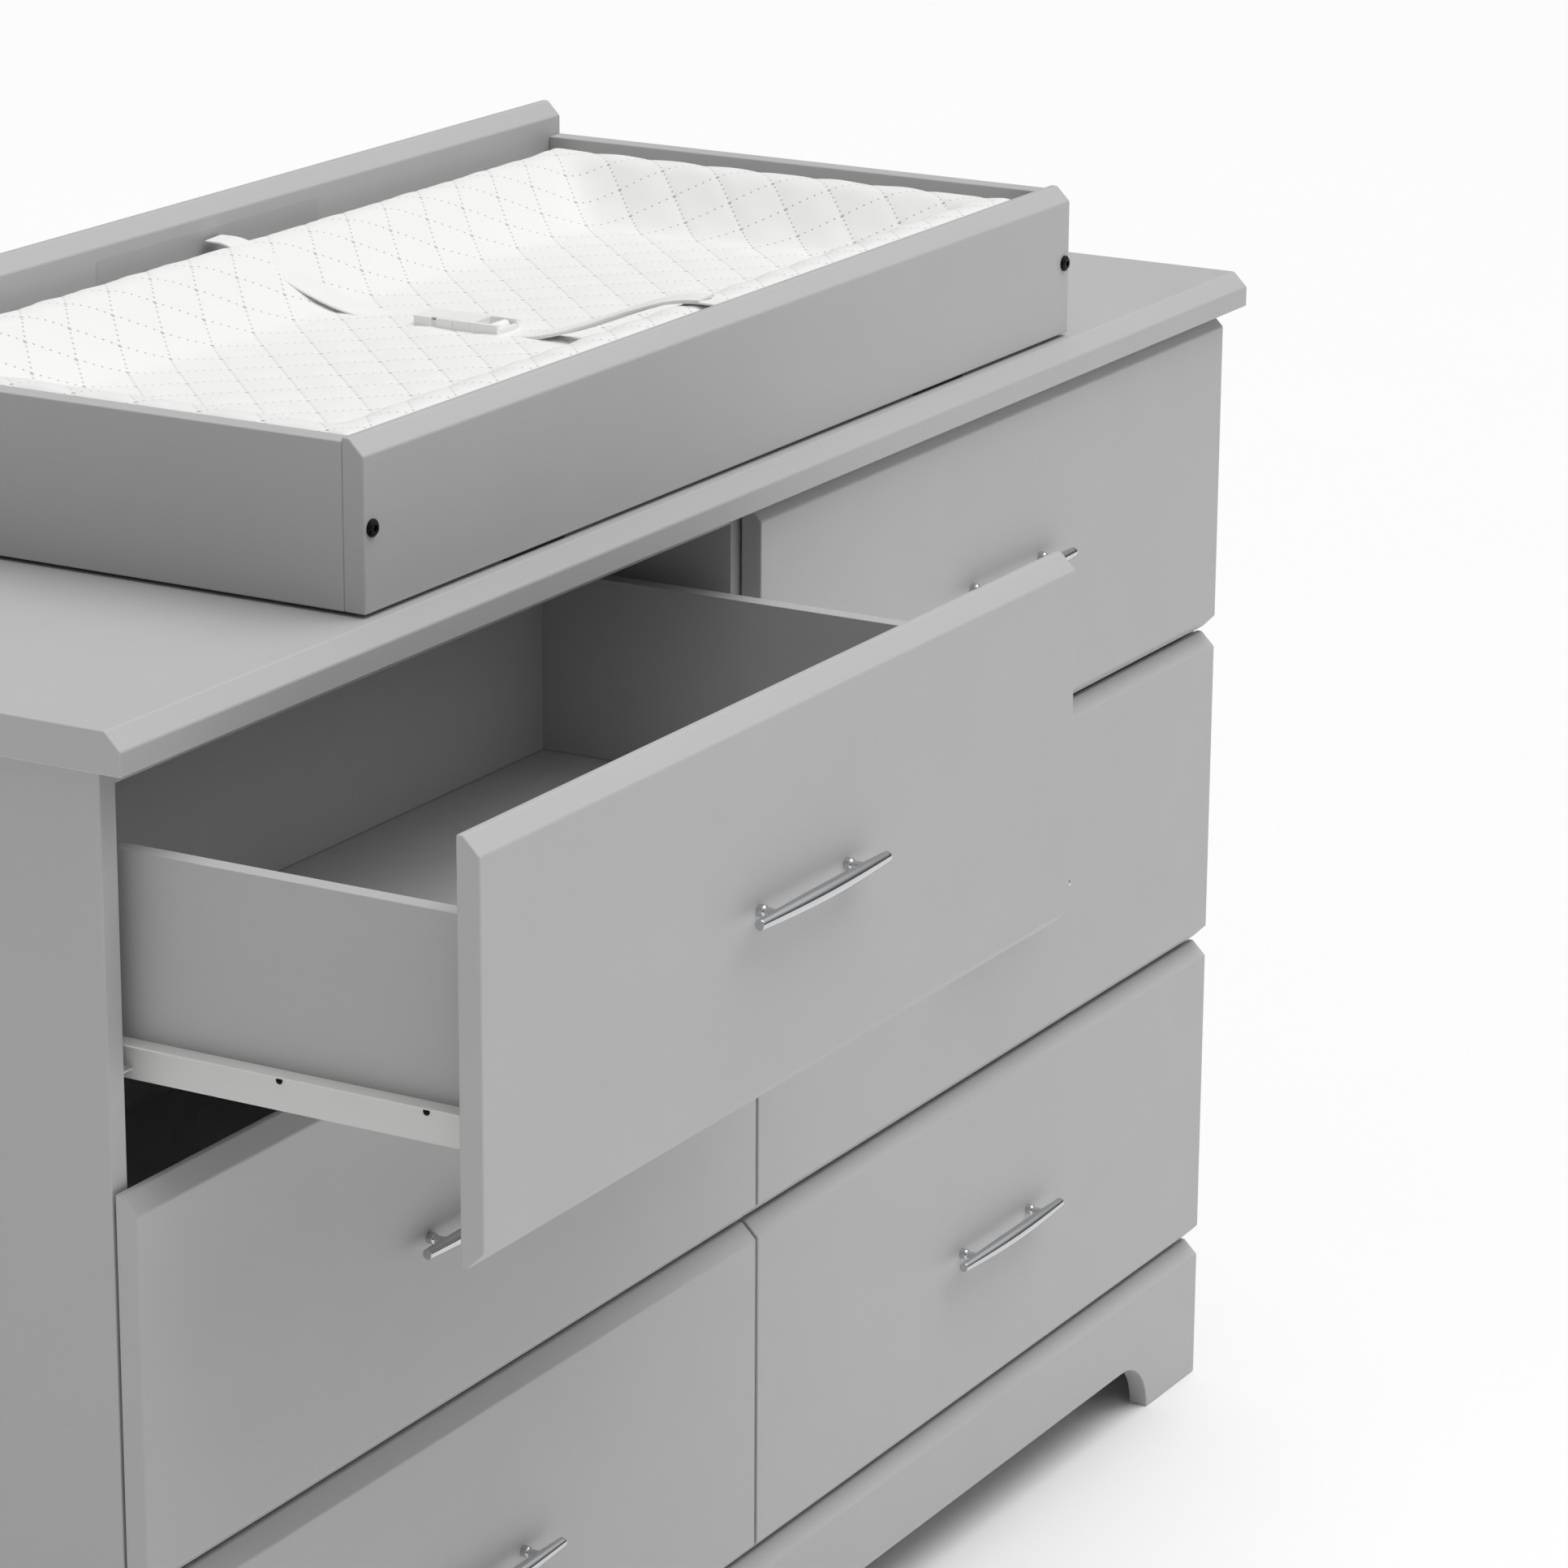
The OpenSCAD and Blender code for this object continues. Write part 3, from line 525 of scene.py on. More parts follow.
class DRESSER_OT_stage(Builder, bpy.types.Operator):
    """Adds the camera, the pale floor and the studio lights"""
    bl_idname = "dresser.stage"
    bl_label = "Camera, floor and lights"

    def build(self):
        self.camera()
        self.floor()
        stage = settings("stage")
        self.lamp("key_light", (0.55, -0.5, 2.6), stage.key, 60)
        self.lamp("left_light", (-2.0, 0.3, 1.6), stage.side, 60)
        self.surroundings(stage.sky)
        bpy.context.scene.view_settings.view_transform = "Standard"

    def surroundings(self, strength):
        """A studio that is bright overhead and dim near the floor, and brighter in front than behind."""
        world = bpy.data.worlds.new("studio")
        world.use_nodes = True
        tree = world.node_tree
        tree.nodes.clear()
        way = add(tree, "ShaderNodeTexCoord").outputs["Generated"]
        parts = add(tree, "ShaderNodeSeparateXYZ", {"Vector": way})
        level = strength
        slopes = (("Z", 0.1, 0.7, 0.1, 1.0), ("X", -1.0, 1.0, 0.8, 1.2), ("Y", -1.0, 1.0, 1.5, 0.5))
        for axis, low, high, dim, bright in slopes:
            reach = {"Value": parts.outputs[axis], "From Min": low, "From Max": high,
                     "To Min": dim, "To Max": bright}
            step = add(tree, "ShaderNodeMapRange", reach, interpolation_type="SMOOTHSTEP").outputs["Result"]
            level = add(tree, "ShaderNodeMath", {0: step, 1: level}, operation="MULTIPLY").outputs[0]
        glow = add(tree, "ShaderNodeBackground", {"Strength": level})
        add(tree, "ShaderNodeOutputWorld", {"Surface": glow.outputs[0]})
        bpy.context.scene.world = world

    def camera(self):
        """A long lens, left of the dresser and above it, turned right and down."""
        spot = Vector((-3.044, -1.859, 1.736))
        heading, dip, roll = math.radians(29.754), math.radians(16.997), math.radians(0.326)
        ahead = Vector((math.cos(heading) * math.cos(dip), math.sin(heading) * math.cos(dip), -math.sin(dip)))
        level = Vector((math.sin(heading), -math.cos(heading), 0))
        upright = level.cross(ahead)
        right = level * math.cos(roll) + upright * math.sin(roll)
        up = upright * math.cos(roll) - level * math.sin(roll)
        data = bpy.data.cameras.new("camera")
        data.sensor_width = 36
        data.lens = 129.8
        data.clip_end = 200
        camera = bpy.data.objects.new("camera", data)
        camera.matrix_world = Matrix.Translation(spot) @ Matrix((right, up, -ahead)).transposed().to_4x4()
        bpy.context.scene.collection.objects.link(camera)
        bpy.context.scene.camera = camera

    def floor(self):
        made, tree, bsdf = material("pale_floor", Roughness=0.9, Specular_IOR_Level=0.1)
        place = add(tree, "ShaderNodeTexCoord").outputs["Object"]
        mottled(tree, bsdf, settings("stage").floor, 0.6, 0.006)
        rippled(tree, bsdf, place, 0.02, 0.00005)
        half = 40
        corners = [(-half, -half, 0), (half, -half, 0), (half, half, 0), (-half, half, 0)]
        mesh = make_mesh("floor", corners, [(0, 1, 2, 3)])
        new_object("floor", mesh, made)

    def lamp(self, name, spot, strength, spread):
        """A distant lamp, spread over enough degrees for soft shadows, that shines from spot to the origin."""
        data = bpy.data.lights.new(name, "SUN")
        data.energy = strength
        data.angle = math.radians(spread)
        light = bpy.data.objects.new(name, data)
        turn = (-Vector(spot)).to_track_quat("-Z", "Y")
        light.matrix_world = Matrix.Translation(Vector(spot)) @ turn.to_matrix().to_4x4()
        bpy.context.scene.collection.objects.link(light)


# ---------------------------------------------------------------- boards


class DRESSER_OT_boards(Builder, bpy.types.Operator):
    """Builds the lacquered boards of the case, plinth, drawer fronts and topper, with sanded edges"""
    bl_idname = "dresser.boards"
    bl_label = "Lacquered boards"

    def build(self):
        radius = settings("paint").edge_round * MM
        for node, body in BODY_OF.items():
            if SLOT_OF[node] == "painted_board":
                name = node + "_lacquered"
                placed(rounded_copy(node, name, sprayed_lacquer(), radius), body, node)
        back = "back_panels"
        placed(rounded_copy(back, back + "_painted", painted_hardboard(), 0.4 * MM), BODY_OF[back], back)


class DRESSER_OT_drawer_boxes(Builder, bpy.types.Operator):
    """Builds the foil-wrapped sides and back of each drawer, and its painted bottom"""
    bl_idname = "dresser.drawer_boxes"
    bl_label = "Drawer boxes"

    def build(self):
        for drawer in DRAWERS:
            box, bottom = drawer + "_box", drawer + "_bottom"
            placed(rounded_copy(box, box + "_foiled", foil_wrap(), 0.6 * MM, segments=2), drawer, box)
            panel = rounded_copy(bottom, bottom + "_painted", painted_hardboard(), 0.3 * MM, segments=2)
            placed(panel, drawer, bottom)


# ---------------------------------------------------------------- runners


def screw_tree(name, finish):
    """Geometry Nodes: a domed head with a cross recess at every point, turned along the point's direction."""
    tree = bpy.data.node_groups.new(name, "GeometryNodeTree")
    tree.is_modifier = True
    tree.interface.new_socket("Geometry", in_out="INPUT", socket_type="NodeSocketGeometry")
    for label, value in (("Head radius", 0.0036), ("Head height", 0.0014), ("Recess width", 0.0008),
                         ("Recess depth", 0.0009)):
        socket = tree.interface.new_socket(label, in_out="INPUT", socket_type="NodeSocketFloat")
        socket.default_value = value
        socket.subtype = "DISTANCE"
    tree.interface.new_socket("Geometry", in_out="OUTPUT", socket_type="NodeSocketGeometry")
    start = add(tree, "NodeGroupInput").outputs

    def vector(x, y, z):
        return add(tree, "ShaderNodeCombineXYZ", {"X": x, "Y": y, "Z": z}).outputs[0]

    def times(value, factor):
        return add(tree, "ShaderNodeMath", {0: value, 1: factor}, operation="MULTIPLY").outputs[0]

    ball = add(tree, "GeometryNodeMeshUVSphere", {"Segments": 28, "Rings": 14, "Radius": 1.0})
    dome = add(tree, "GeometryNodeTransform", {"Geometry": ball.outputs["Mesh"],
                                               "Scale": vector(start["Head radius"], start["Head radius"],
                                                               start["Head height"])})
    length = times(start["Head radius"], 1.25)
    depth = times(start["Recess depth"], 2.0)
    slots = [add(tree, "GeometryNodeMeshCube", {"Size": size}).outputs["Mesh"]
             for size in (vector(length, start["Recess width"], depth),
                          vector(start["Recess width"], length, depth))]
    lifted = [add(tree, "GeometryNodeTransform",
                  {"Geometry": slot, "Translation": vector(0.0, 0.0, start["Head height"])})
              for slot in slots]
    cut = dome.outputs[0]
    for slot in lifted:
        cut = add(tree, "GeometryNodeMeshBoolean", {"Mesh 1": cut, "Mesh 2": slot.outputs[0]},
                  operation="DIFFERENCE").outputs["Mesh"]
    way = add(tree, "GeometryNodeInputNamedAttribute", {"Name": "direction"}, data_type="FLOAT_VECTOR")
    turn = add(tree, "FunctionNodeAlignRotationToVector", {"Vector": way.outputs[0]}, axis="Z")
    points = add(tree, "GeometryNodeInstanceOnPoints", {"Points": start["Geometry"], "Instance": cut,
                                                        "Rotation": turn.outputs[0]})
    real = add(tree, "GeometryNodeRealizeInstances", {"Geometry": points.outputs[0]})
    coat = add(tree, "GeometryNodeSetMaterial", {"Geometry": real.outputs[0], "Material": finish})
    add(tree, "NodeGroupOutput", {"Geometry": coat.outputs[0]})
    return tree


def screws(name, tree, spots, finish, **sizes):
    """Screw heads at spots, each a (place, direction), as one plain mesh."""
    mesh = make_mesh(name, [spot for spot, _ in spots], [])
    way = mesh.attributes.new("direction", "FLOAT_VECTOR", "POINT")
    way.data.foreach_set("vector", [c for _, d in spots for c in d])
    obj = new_object(name, mesh, finish)
    modifier = obj.modifiers.new("screws", "NODES")
    modifier.node_group = tree
    for item in tree.interface.items_tree:
        key = item.name.lower().replace(" ", "_")
        if item.in_out == "INPUT" and key in sizes:
            modifier[item.identifier] = sizes[key]
    frozen(obj)
    smooth(obj.data)
    obj.data.set_sharp_from_angle(angle=math.radians(35))
    return obj


def islands_of(node, small):
    """Centre and half size of each loose part of a CAD node that is smaller than small, in metres."""
    found = []

    def note(island):
        co = np.array([v.co for v in island])
        lo, hi = co.min(0), co.max(0)
        if (hi - lo).max() < small:
            found.append(((lo + hi) / 2, (hi - lo) / 2))
        return True

    copied(node, note).free()
    return found


def longest(island):
    co = np.array([v.co for v in island])
    return (co.max(0) - co.min(0)).max()


class DRESSER_OT_runners(Builder, bpy.types.Operator):
    """Coats the channels and rollers, and builds the drawers' rails with their dark screws"""
    bl_idname = "dresser.runners"
    bl_label = "Drawer runners"

    def build(self):
        tree = screw_tree("cross_head_screw", dark_steel())
        channels = "runner_channels"
        coated = rounded_copy(channels, channels + "_coated", epoxy_steel(), 0.25 * MM, 0.003, segments=2)
        placed(coated, "case", channels)
        for drawer in DRAWERS:
            rails = drawer + "_rails"
            rail = rounded_copy(rails, rails + "_coated", epoxy_steel(), 0.25 * MM, 0.003,
                                keep=lambda island: longest(island) > 0.05, segments=2)
            placed(rail, drawer, rails)
            middle = sum((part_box(rails)[i].x for i in (0, 1))) / 2
            spots = []
            for centre, half in islands_of(rails, 0.05):
                out = 1 if centre[0] > middle else -1
                head = Vector((centre[0] + out * (half[0] - 1.0 * MM), centre[1], centre[2]))
                spots.append((head, (out, 0, 0)))
            heads = screws(drawer + "_rail_screws", tree, spots, dark_steel(), head_radius=0.0022,
                           head_height=0.001, recess_width=0.0005, recess_depth=0.0006)
            placed(heads, drawer, slot="black_bolt")
            for kind in ("front", "rear"):
                node = f"{drawer}_{kind}_rollers"
                rollers = rounded_copy(node, node + "_moulded", moulded_nylon(), 0.5 * MM, 0.0002)
                placed(rollers, BODY_OF[node], node)


# ---------------------------------------------------------------- handles


class DRESSER_OT_handles(Builder, bpy.types.Operator):
    """Builds the chrome bar handles: a bar that bows forward between two necked posts"""
    bl_idname = "dresser.handles"
    bl_label = "Bar handles"

    def build(self):
        tree = screw_tree("handle_screw", zinc_steel())
        for drawer in DRAWERS:
            node = drawer + "_handle"
            lo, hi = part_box(node)
            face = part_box(drawer + "_front")[0].y
            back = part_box(drawer + "_front")[1].y
            centre = Vector(((lo.x + hi.x) / 2, face, (lo.z + hi.z) / 2))
            half, reach = (hi.x - lo.x) / 2, face - lo.y
            parts = [self.bar(centre, half, reach)]
            spots = []
            for side in (-1, 1):
                post = centre + Vector((side * HALF_POST_SPACING, 0, 0))
                parts.append(self.post(post, reach))
                spots.append((Vector((post.x, back + 0.2 * MM, post.z)), (0, 1, 0)))
            obj = joined(node + "_chromed", parts, polished_chrome())
            placed(weighted(obj, 60), drawer, node)
            heads = screws(drawer + "_handle_screws", tree, spots, zinc_steel(), head_radius=0.004,
                           head_height=0.0024, recess_width=0.001, recess_depth=0.0012)
            placed(heads, drawer, slot="polished_chrome")

    def bar(self, centre, half, reach):
        """Rings along X. The back line stays straight and the bar swells forward to its middle."""
        segments = settings("metal").bar_segments
        end_r, mid_r, edge = BAR_END_R, BAR_MIDDLE_R, 0.6 * MM
        back_line = reach - 2 * mid_r
        stops = [-half, -half, -half + edge * 0.3, -half + edge]
        stops += [half * s for s in np.linspace(-0.96, 0.96, 33)]
        stops += [half - edge, half - edge * 0.3, half, half]
        tip = [0, end_r - edge, end_r - edge * 0.3, end_r]
        shrink = tip + [None] * 33 + tip[::-1]
        verts, faces = [], []
        for x, tight in zip(stops, shrink):
            full = end_r + (mid_r - end_r) * math.cos(math.pi / 2 * x / half)
            r = full if tight is None else max(tight, 1e-5)
            depth = back_line + full
            for k in range(segments):
                turn = 2 * math.pi * k / segments
                verts.append(centre + Vector((x, -depth + r * math.cos(turn), r * math.sin(turn))))
        for i in range(len(stops) - 1):
            for k in range(segments):
                n = (k + 1) % segments
                here, ahead = i * segments, (i + 1) * segments
                faces.append((here + k, here + n, ahead + n, ahead + k))
        faces.append(tuple(range(segments)))
        last = (len(stops) - 1) * segments
        faces.append(tuple(range(last, last + segments)))
        return verts, faces

    def post(self, spot, reach):
        """A round foot on the drawer front that necks to the back of the bar."""
        foot, neck, end, neck_start = 3.8 * MM, 2.3 * MM, reach - BAR_MIDDLE_R, 5.1 * MM
        profile = [(0, 0), (foot, 0), (foot, 3.6 * MM)]
        profile += [(foot - 0.3 * MM, 4.4 * MM), (foot - 0.9 * MM, 4.9 * MM)]
        for t in (0.0, 0.2, 0.5, 1.0):
            profile.append((neck + 0.35 * MM * (1 - t) ** 2, neck_start + (end - neck_start) * t))
        profile += [(0, end)]
        place = Matrix.Translation(spot) @ Matrix.Rotation(math.pi / 2, 4, "X")
        return revolve(profile, 32, place)


# ---------------------------------------------------------------- topper


class DRESSER_OT_topper_fittings(Builder, bpy.types.Operator):
    """Finishes the topper's bolts and feet, and adds the blank label on its back board"""
    bl_idname = "dresser.topper_fittings"
    bl_label = "Topper bolts, feet and label"

    def build(self):
        bolts = rounded_copy("topper_bolts", "topper_bolts_blackened", dark_steel(), 0.35 * MM, 0.0003)
        placed(bolts, "topper", "topper_bolts")
        feet = rounded_copy("topper_feet", "topper_feet_moulded", soft_rubber(), 0.3 * MM, 0.001)
        placed(feet, "topper", "topper_feet")
        lo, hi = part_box("topper_back_board")
        half, low, high, thick = 0.1275, hi.z - 0.062, hi.z - 0.0185, 0.15 * MM
        bm = bmesh.new()
        bmesh.ops.create_cube(bm, size=1)
        bmesh.ops.scale(bm, vec=(2 * half, thick, high - low), verts=bm.verts)
        bmesh.ops.translate(bm, vec=(0, lo.y - thick / 2, (low + high) / 2), verts=bm.verts)
        upright = [e for e in bm.edges if abs(e.verts[0].co.y - e.verts[1].co.y) > thick / 2]
        bmesh.ops.bevel(bm, geom=upright, offset=2 * MM, segments=5, profile=0.5, affect="EDGES")
        mesh = bpy.data.meshes.new("blank_label")
        bm.to_mesh(mesh)
        bm.free()
        placed(new_object("blank_label", mesh, paper_label()), "topper", slot="painted_board")


# ---------------------------------------------------------------- pad


class DRESSER_OT_pad(Builder, bpy.types.Operator):
    """Builds the contoured pad: a simulated foam-filled cover, then its welded diamonds"""
    bl_idname = "dresser.pad"
    bl_label = "Quilted changing pad"

    def build(self):
        pad = settings("pad")
        lo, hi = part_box("changing_pad")
        self.lo, self.hi = np.array(lo), np.array(hi)
        self.inset = 2.4 * MM
        self.rim = PAD_RIM_WIDTH
        self.run = PAD_SLOPE_WIDTH
        self.middle = PAD_MIDDLE_HEIGHT - pad.puff * MM * 0.6
        self.top = self.hi[2] - self.lo[2] - pad.puff * MM * 0.8
        obj = self.shell(pad.grid * MM)
        self.swell(obj, pad.cap * MM)
        refine = obj.modifiers.new("refine", "SUBSURF")
        refine.levels = refine.render_levels = 2
        frozen(obj)
        self.close(obj)
        self.emboss(obj, pad.quilt * MM, pad.puff * MM)
        smooth(obj.data)
        placed(obj, "pad", "changing_pad")

    def height(self, x, y):
        """Height of the foam above its underside: a rim, a slope with soft ends, and a flat middle."""
        half = (self.hi[:2] - self.lo[:2]) / 2 - self.inset
        mid = (self.hi[:2] + self.lo[:2]) / 2
        dx, dy = half[0] - np.abs(x - mid[0]), half[1] - np.abs(y - mid[1])
        soft = 10 * MM
        blend = np.clip(0.5 + 0.5 * (dy - dx) / soft, 0, 1)
        edge = dy + (dx - dy) * blend - soft * blend * (1 - blend)
        t = np.clip((edge - self.rim) / self.run, 0, 1)
        ease = 0.45 * t + 0.55 * t * t * (3 - 2 * t)
        fall = np.clip(1 - edge / (9 * MM), 0, 1)
        shoulder = (1 - np.sqrt(np.clip(1 - fall ** 2, 0, 1))) * 7 * MM
        return self.top + (self.middle - self.top) * ease - shoulder

    def shell(self, step):
        """Quads, open below: a top grid and rings down the sides, with the place of each point unfolded."""
        lo, hi = self.lo[:2] + self.inset, self.hi[:2] - self.inset
        nx, ny = (int(round(n)) for n in (hi - lo) / step)
        xs, ys = np.linspace(lo[0], hi[0], nx + 1), np.linspace(lo[1], hi[1], ny + 1)
        corner = 14 * MM
        grid = np.array([(x, y) for y in ys for x in xs])
        grid = self.round_corners(grid, lo, hi, corner)
        z = self.lo[2] + self.height(grid[:, 0], grid[:, 1])
        verts = [(*p, h) for p, h in zip(grid, z)]
        flat = [(*p, 0.0) for p in grid]
        row = nx + 1
        faces = [(j * row + i, j * row + i + 1, (j + 1) * row + i + 1, (j + 1) * row + i)
                 for j in range(ny) for i in range(nx)]
        loop = list(range(nx + 1)) + [j * row + nx for j in range(1, ny + 1)]
        loop += [ny * row + i for i in range(nx - 1, -1, -1)] + [j * row for j in range(ny - 1, 0, -1)]
        mid = (lo + hi) / 2
        ring, levels = loop, 5
        start = np.array([z[i] for i in loop])
        outward = [self.outward(grid[i], mid, hi - mid, corner) for i in loop]
        for level in range(1, levels + 1):
            share = level / levels
            base = len(verts)
            for k, i in enumerate(loop):
                tuck = 3 * MM if level == levels else 0.0
                p = grid[i] - outward[k] * tuck
                height = start[k] + (self.lo[2] + 0.2 * MM - start[k]) * share
                verts.append((*p, height))
                flat.append((*(grid[i] + outward[k] * (start[k] - height)), 0.0))
            fresh = list(range(base, base + len(loop)))
            for k in range(len(loop)):
                n = (k + 1) % len(loop)
                faces.append((ring[n], ring[k], fresh[k], fresh[n]))
            ring = fresh
        mesh = make_mesh("changing_pad_quilted", verts, faces)
        store = mesh.attributes.new("quilt", "FLOAT_VECTOR", "POINT")
        store.data.foreach_set("vector", np.array(flat, np.float32).ravel())
        return new_object("changing_pad_quilted", mesh, quilted_cover())

    def close(self, obj):
        """Fills the open underside once the rest is fine enough."""
        bm = bmesh.new()
        bm.from_mesh(obj.data)
        bmesh.ops.holes_fill(bm, edges=[e for e in bm.edges if e.is_boundary], sides=0)
        bmesh.ops.recalc_face_normals(bm, faces=bm.faces)
        bm.to_mesh(obj.data)
        bm.free()

    def round_corners(self, grid, lo, hi, corner):
        """Pulls the grid's four corners in to quarter circles."""
        moved = grid.copy()
        mid, half = (lo + hi) / 2, (hi - lo) / 2
        local = np.abs(grid - mid) - (half - corner)
        inside = (local > 0).all(axis=1)
        q = np.clip(local[inside] / corner, 0, 1)
        disc = np.stack([q[:, 0] * np.sqrt(1 - q[:, 1] ** 2 / 2), q[:, 1] * np.sqrt(1 - q[:, 0] ** 2 / 2)], 1)
        side = np.sign(grid[inside] - mid)
        moved[inside] = mid + side * (half - corner + disc * corner)
        return moved

    def outward(self, p, mid, half, corner):
        local = np.maximum(np.abs(p - mid) - (half - corner), 0)
        if min(local) <= 1e-9:
            local = (np.abs(p - mid) >= half - 1e-6).astype(float)
        way = np.sign(p - mid) * local
        return way / (np.linalg.norm(way) or 1)

    def swell(self, obj, cap):
        """Cloth under pressure rounds the cover over its foam. No point may move further than cap."""
        rest = np.array([v.co for v in obj.data.vertices])
        pins = obj.vertex_groups.new(name="held")
        depth = (rest[:, 2] - self.lo[2]) / (self.hi[2] - self.lo[2])
        for index, share in enumerate(depth):
            pins.add([index], float(np.clip(1 - share * 1.6, 0.02, 1)), "REPLACE")
        cloth = obj.modifiers.new("cloth", "CLOTH")
        cloth.settings.quality = 4
        cloth.settings.mass = 0.15
        cloth.settings.tension_stiffness = cloth.settings.compression_stiffness = 12
        cloth.settings.bending_stiffness = 2
        cloth.settings.vertex_group_mass = "held"
        cloth.settings.use_pressure = True
        cloth.settings.uniform_pressure_force = 3
        cloth.settings.effector_weights.gravity = 0
        cloth.collision_settings.use_self_collision = False
        cloth.point_cache.frame_start, cloth.point_cache.frame_end = 1, 20
        scene = bpy.context.scene
        for tick in range(1, 21):
            scene.frame_set(tick)
        graph = bpy.context.evaluated_depsgraph_get()
        shaped = np.array([v.co for v in obj.evaluated_get(graph).data.vertices])
        obj.modifiers.clear()
        obj.vertex_groups.clear()
        scene.frame_set(1)
        move = shaped - rest
        far = np.linalg.norm(move, axis=1)
        move *= (np.minimum(far, cap) / np.maximum(far, 1e-9))[:, None]
        kept = rest + move
        kept[:, :2] = np.clip(kept[:, :2], self.lo[:2] + self.inset * 0.9, self.hi[:2] - self.inset * 0.9)
        kept[:, 2] = np.clip(kept[:, 2], self.lo[2] + 0.1 * MM, self.hi[2] - 1.2 * MM)
        obj.data.vertices.foreach_set("co", kept.ravel())
        obj.data.update()

    def emboss(self, obj, spacing, puff):
        """Raises the diamonds between the weld lines, and pits the points where lines cross."""
        mesh = obj.data
        count = len(mesh.vertices)
        co = np.empty(count * 3)
        mesh.vertices.foreach_get("co", co)
        co = co.reshape(-1, 3)
        normal = np.array([v.normal for v in mesh.vertices])
        flat = np.empty(count * 3, np.float32)
        mesh.attributes["quilt"].data.foreach_get("vector", flat)
        flat = flat.reshape(-1, 3)
        a = (flat[:, 0] + flat[:, 1]) / math.sqrt(2) / spacing
        b = (flat[:, 0] - flat[:, 1]) / math.sqrt(2) / spacing
        pillow = (np.abs(np.sin(math.pi * a)) * np.abs(np.sin(math.pi * b))) ** 0.55
        near = np.sqrt((a - np.round(a)) ** 2 + (b - np.round(b)) ** 2) * spacing
        pit = np.exp(-(near / (2.4 * MM)) ** 2)
        long, wide = flat[:, 0], flat[:, 1]
        sway = np.sin(long * 61 + 1.3) * np.sin(wide * 83 + 0.4) + np.sin(long * 143 - wide * 97)
        lift = puff * pillow - 0.7 * MM * pit + 0.25 * MM * sway * pillow
        side = np.abs(normal[:, 2]) < 0.6
        lift[side] *= 0.8
        under = co[:, 2] < self.lo[2] + 4 * MM
        lift[under] = 0
        co += normal * lift[:, None]
        co[:, :2] = np.clip(co[:, :2], self.lo[:2] - 0.2 * MM, self.hi[:2] + 0.2 * MM)
        co[:, 2] = np.maximum(co[:, 2], self.lo[2])
        mesh.vertices.foreach_set("co", co.ravel())
        store = np.stack([a, b, np.zeros_like(a)], 1).astype(np.float32)
        mesh.attributes["quilt"].data.foreach_set("vector", store.ravel())
        mesh.update()


# ---------------------------------------------------------------- strap and buckle


def band(name, line, tilts, width, thick, finish):
    """Webbing along a line of (y, z) points, with a map in metres along it.

    Its section is flat with round edges, and is tilted about the line by an angle at each point.
    """
    line = np.array(line)
    step = np.gradient(line, axis=0)
    step /= np.linalg.norm(step, axis=1)[:, None]
    across = np.stack([-step[:, 1], step[:, 0]], 1)
    run = np.concatenate([[0], np.cumsum(np.linalg.norm(np.diff(line, axis=0), axis=1))])
    half, r = width / 2, thick / 2
    turns = np.linspace(math.pi / 2, -math.pi / 2, 6)[1:-1]
    section = [(-half + r + (width - 2 * r) * i / 10, r) for i in range(11)]
    section += [(half - r + r * math.cos(t), r * math.sin(t)) for t in turns]
    section += [(half - r - (width - 2 * r) * i / 10, -r) for i in range(11)]
    section += [(-half + r - r * math.cos(t), -r * math.sin(t)) for t in turns]
    size = len(section)
    verts = []
    for p, n, tilt in zip(line, across, tilts):
        for x, h in section:
            rise = h * math.cos(tilt) - x * math.sin(tilt)
            verts.append((x * math.cos(tilt) + h * math.sin(tilt), p[0] + n[0] * rise, p[1] + n[1] * rise))
    faces = [(i * size + k, i * size + (k + 1) % size, (i + 1) * size + (k + 1) % size, (i + 1) * size + k)
             for i in range(len(line) - 1) for k in range(size)]
    faces += [tuple(range(size)), tuple(range((len(line) - 1) * size, len(line) * size))]
    obj = joined(name, [(verts, faces)], finish)
    uv = obj.data.uv_layers.new(name="band")
    for loop in obj.data.loops:
        i, k = divmod(loop.vertex_index, size)
        uv.data[loop.index].uv = (section[k][0], run[i])
    smooth(obj.data)
    obj.data.set_sharp_from_angle(angle=math.radians(60))
    return obj


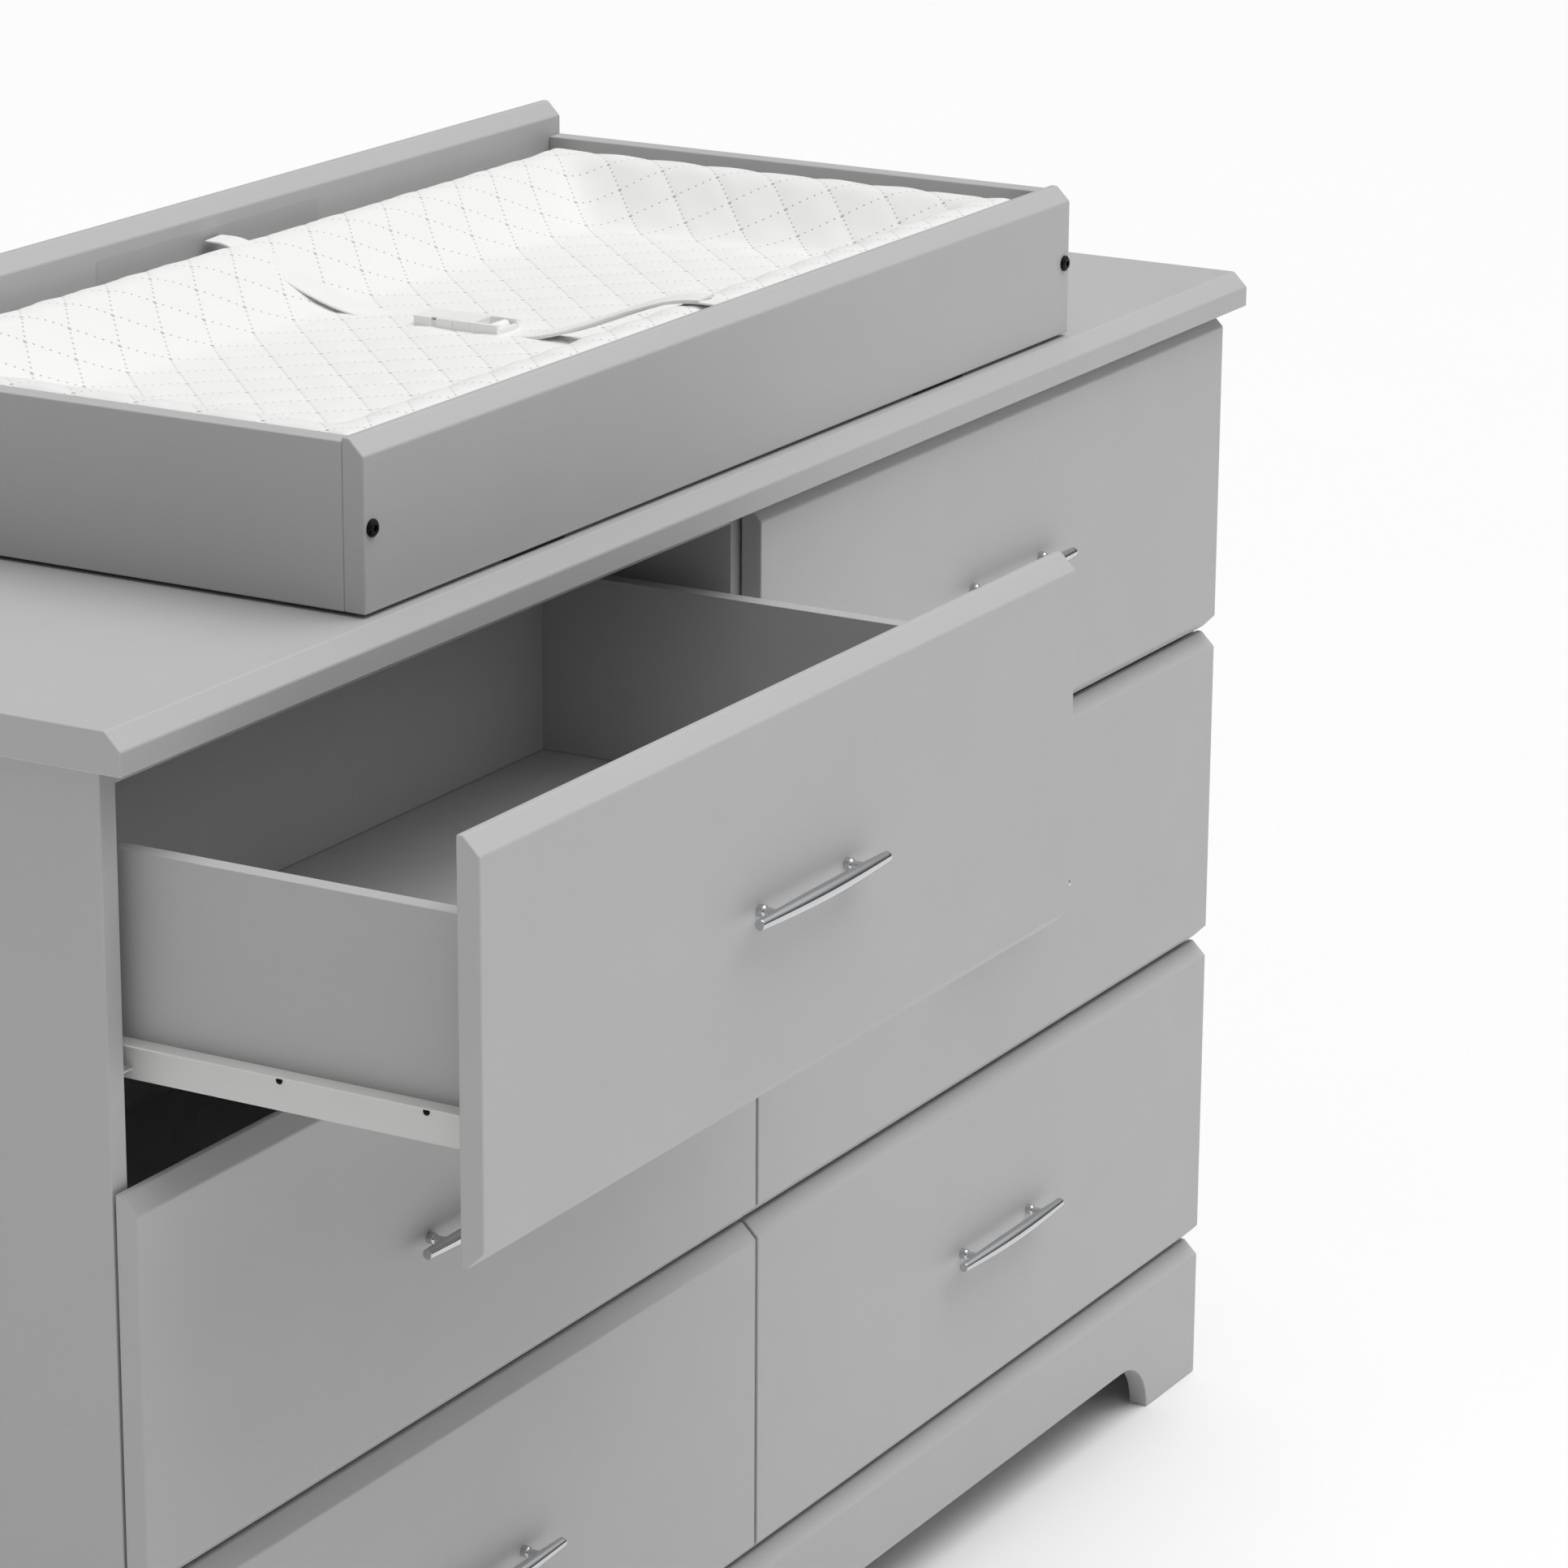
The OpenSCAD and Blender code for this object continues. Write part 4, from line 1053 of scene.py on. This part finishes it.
class DRESSER_OT_strap(Builder, bpy.types.Operator):
    """Builds the webbing strap that crosses the pad, doubled between the buckle's bar and the front rim"""
    bl_idname = "dresser.strap"
    bl_label = "Restraint strap"

    def build(self):
        pad_lo, pad_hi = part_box("changing_pad")
        strap_lo, strap_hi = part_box("restraint_strap")
        socket_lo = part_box("buckle_socket")[0]
        tongue_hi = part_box("buckle_tongue")[1]
        thick, width = 1.5 * MM, strap_hi.x - strap_lo.x - 0.4 * MM
        low, high, rim = socket_lo.z + 1.2 * MM, pad_hi.z + 1.3 * MM, PAD_RIM_WIDTH
        bar_y, bar_z, wrap = socket_lo.y + 8 * MM, socket_lo.z + 6.1 * MM, 2.2 * MM + thick / 2
        under = self.half(pad_lo.y + 2 * MM, pad_lo.y + rim, socket_lo.y - 2 * MM, low, high, 1.0)
        under += [(socket_lo.y + 5 * MM, low)]
        loop = [(bar_y + wrap * math.sin(t), bar_z - wrap * math.cos(t)) for t in np.linspace(0.3, 4.5, 16)]
        loop += [(socket_lo.y + 2.6 * MM, low + thick + 0.5 * MM)]
        lift = thick + 0.15 * MM
        back = [(y, z + lift + 0.5 * MM * math.sin((y - pad_lo.y) * 40) ** 2) for y, z in under[::-1][1:-2]]
        line = self.even(under + loop + back)
        lean = np.radians(self.lean(line[:, 0], pad_lo.y + rim, socket_lo.y - 12 * MM))
        front = band("strap_front_webbing", line, lean, width, thick, woven_webbing())
        placed(front, "pad", "restraint_strap")
        rear = self.half(pad_hi.y - 2 * MM, pad_hi.y - rim, tongue_hi.y + 8 * MM, low, high, 0.7)
        rear += [(tongue_hi.y + 1 * MM, low), (tongue_hi.y - 6 * MM, low + 1.5 * MM)]
        line = self.even(rear)
        lean = np.radians(2.2 * self.lean(line[:, 0], pad_hi.y - rim, tongue_hi.y + 12 * MM))
        placed(band("strap_rear_webbing", line, lean, width, thick, woven_webbing()), "pad", slot="webbing")

    def half(self, y_edge, y_rim, y_low, low, high, sag):
        """From the pad's edge over the rim and down to the buckle."""
        line = [(y_edge, high)]
        for t in np.linspace(0, 1, 36):
            share = (1 + math.cos(math.pi * t ** sag)) / 2
            line.append((y_rim + (y_low - y_rim) * t, low + (high - low) * share))
        return line

    def lean(self, y, y_rim, y_low):
        """Degrees of tilt: most halfway down the slope, where the webbing hangs free, none at the buckle."""
        t = np.clip((y - y_rim) / (y_low - y_rim), 0, 1)
        return 1.2 * (1 - t) + 5.5 * np.sin(np.pi * t)

    def even(self, line, step=2 * MM):
        """The same line with evenly spaced points."""
        line = np.array(line)
        run = np.concatenate([[0], np.cumsum(np.linalg.norm(np.diff(line, axis=0), axis=1))])
        spots = np.linspace(0, run[-1], max(3, int(run[-1] / step)))
        return np.stack([np.interp(spots, run, line[:, i]) for i in (0, 1)], 1)


class DRESSER_OT_buckle(Builder, bpy.types.Operator):
    """Builds the side-release buckle with moulded edges"""
    bl_idname = "dresser.buckle"
    bl_label = "Side-release buckle"

    def build(self):
        for node in ("buckle_socket", "buckle_tongue"):
            placed(rounded_copy(node, node + "_moulded", moulded_acetal(), 0.45 * MM, 0.0012), "pad", node)


# ---------------------------------------------------------------- panel and registration


STEPS = (DRESSER_OT_stage, DRESSER_OT_boards, DRESSER_OT_drawer_boxes, DRESSER_OT_runners, DRESSER_OT_handles,
         DRESSER_OT_topper_fittings, DRESSER_OT_pad, DRESSER_OT_strap, DRESSER_OT_buckle)


class DRESSER_PT_sidebar(bpy.types.Panel):
    """Lists the steps and their sizes"""
    bl_label = "Nursery dresser"
    bl_idname = "DRESSER_PT_sidebar"
    bl_space_type = "VIEW_3D"
    bl_region_type = "UI"
    bl_category = "Dresser"

    def draw(self, context):
        for group, kind in SETTINGS.items():
            box = self.layout.box()
            box.label(text=group.capitalize())
            for key in kind.__annotations__:
                box.prop(getattr(context.scene, "dresser_" + group), key)
        for step in STEPS:
            self.layout.operator(step.bl_idname)


CLASSES = (*SETTINGS.values(), *STEPS, DRESSER_PT_sidebar)


def register():
    for kind in CLASSES:
        bpy.utils.register_class(kind)
    for group, kind in SETTINGS.items():
        setattr(bpy.types.Scene, "dresser_" + group, PointerProperty(type=kind))


def unregister():
    for group in SETTINGS:
        delattr(bpy.types.Scene, "dresser_" + group)
    for kind in reversed(CLASSES):
        bpy.utils.unregister_class(kind)


def main():
    register()
    for step in STEPS:
        group, name = step.bl_idname.split(".")
        getattr(getattr(bpy.ops, group), name)()


if __name__ == "__main__":
    main()
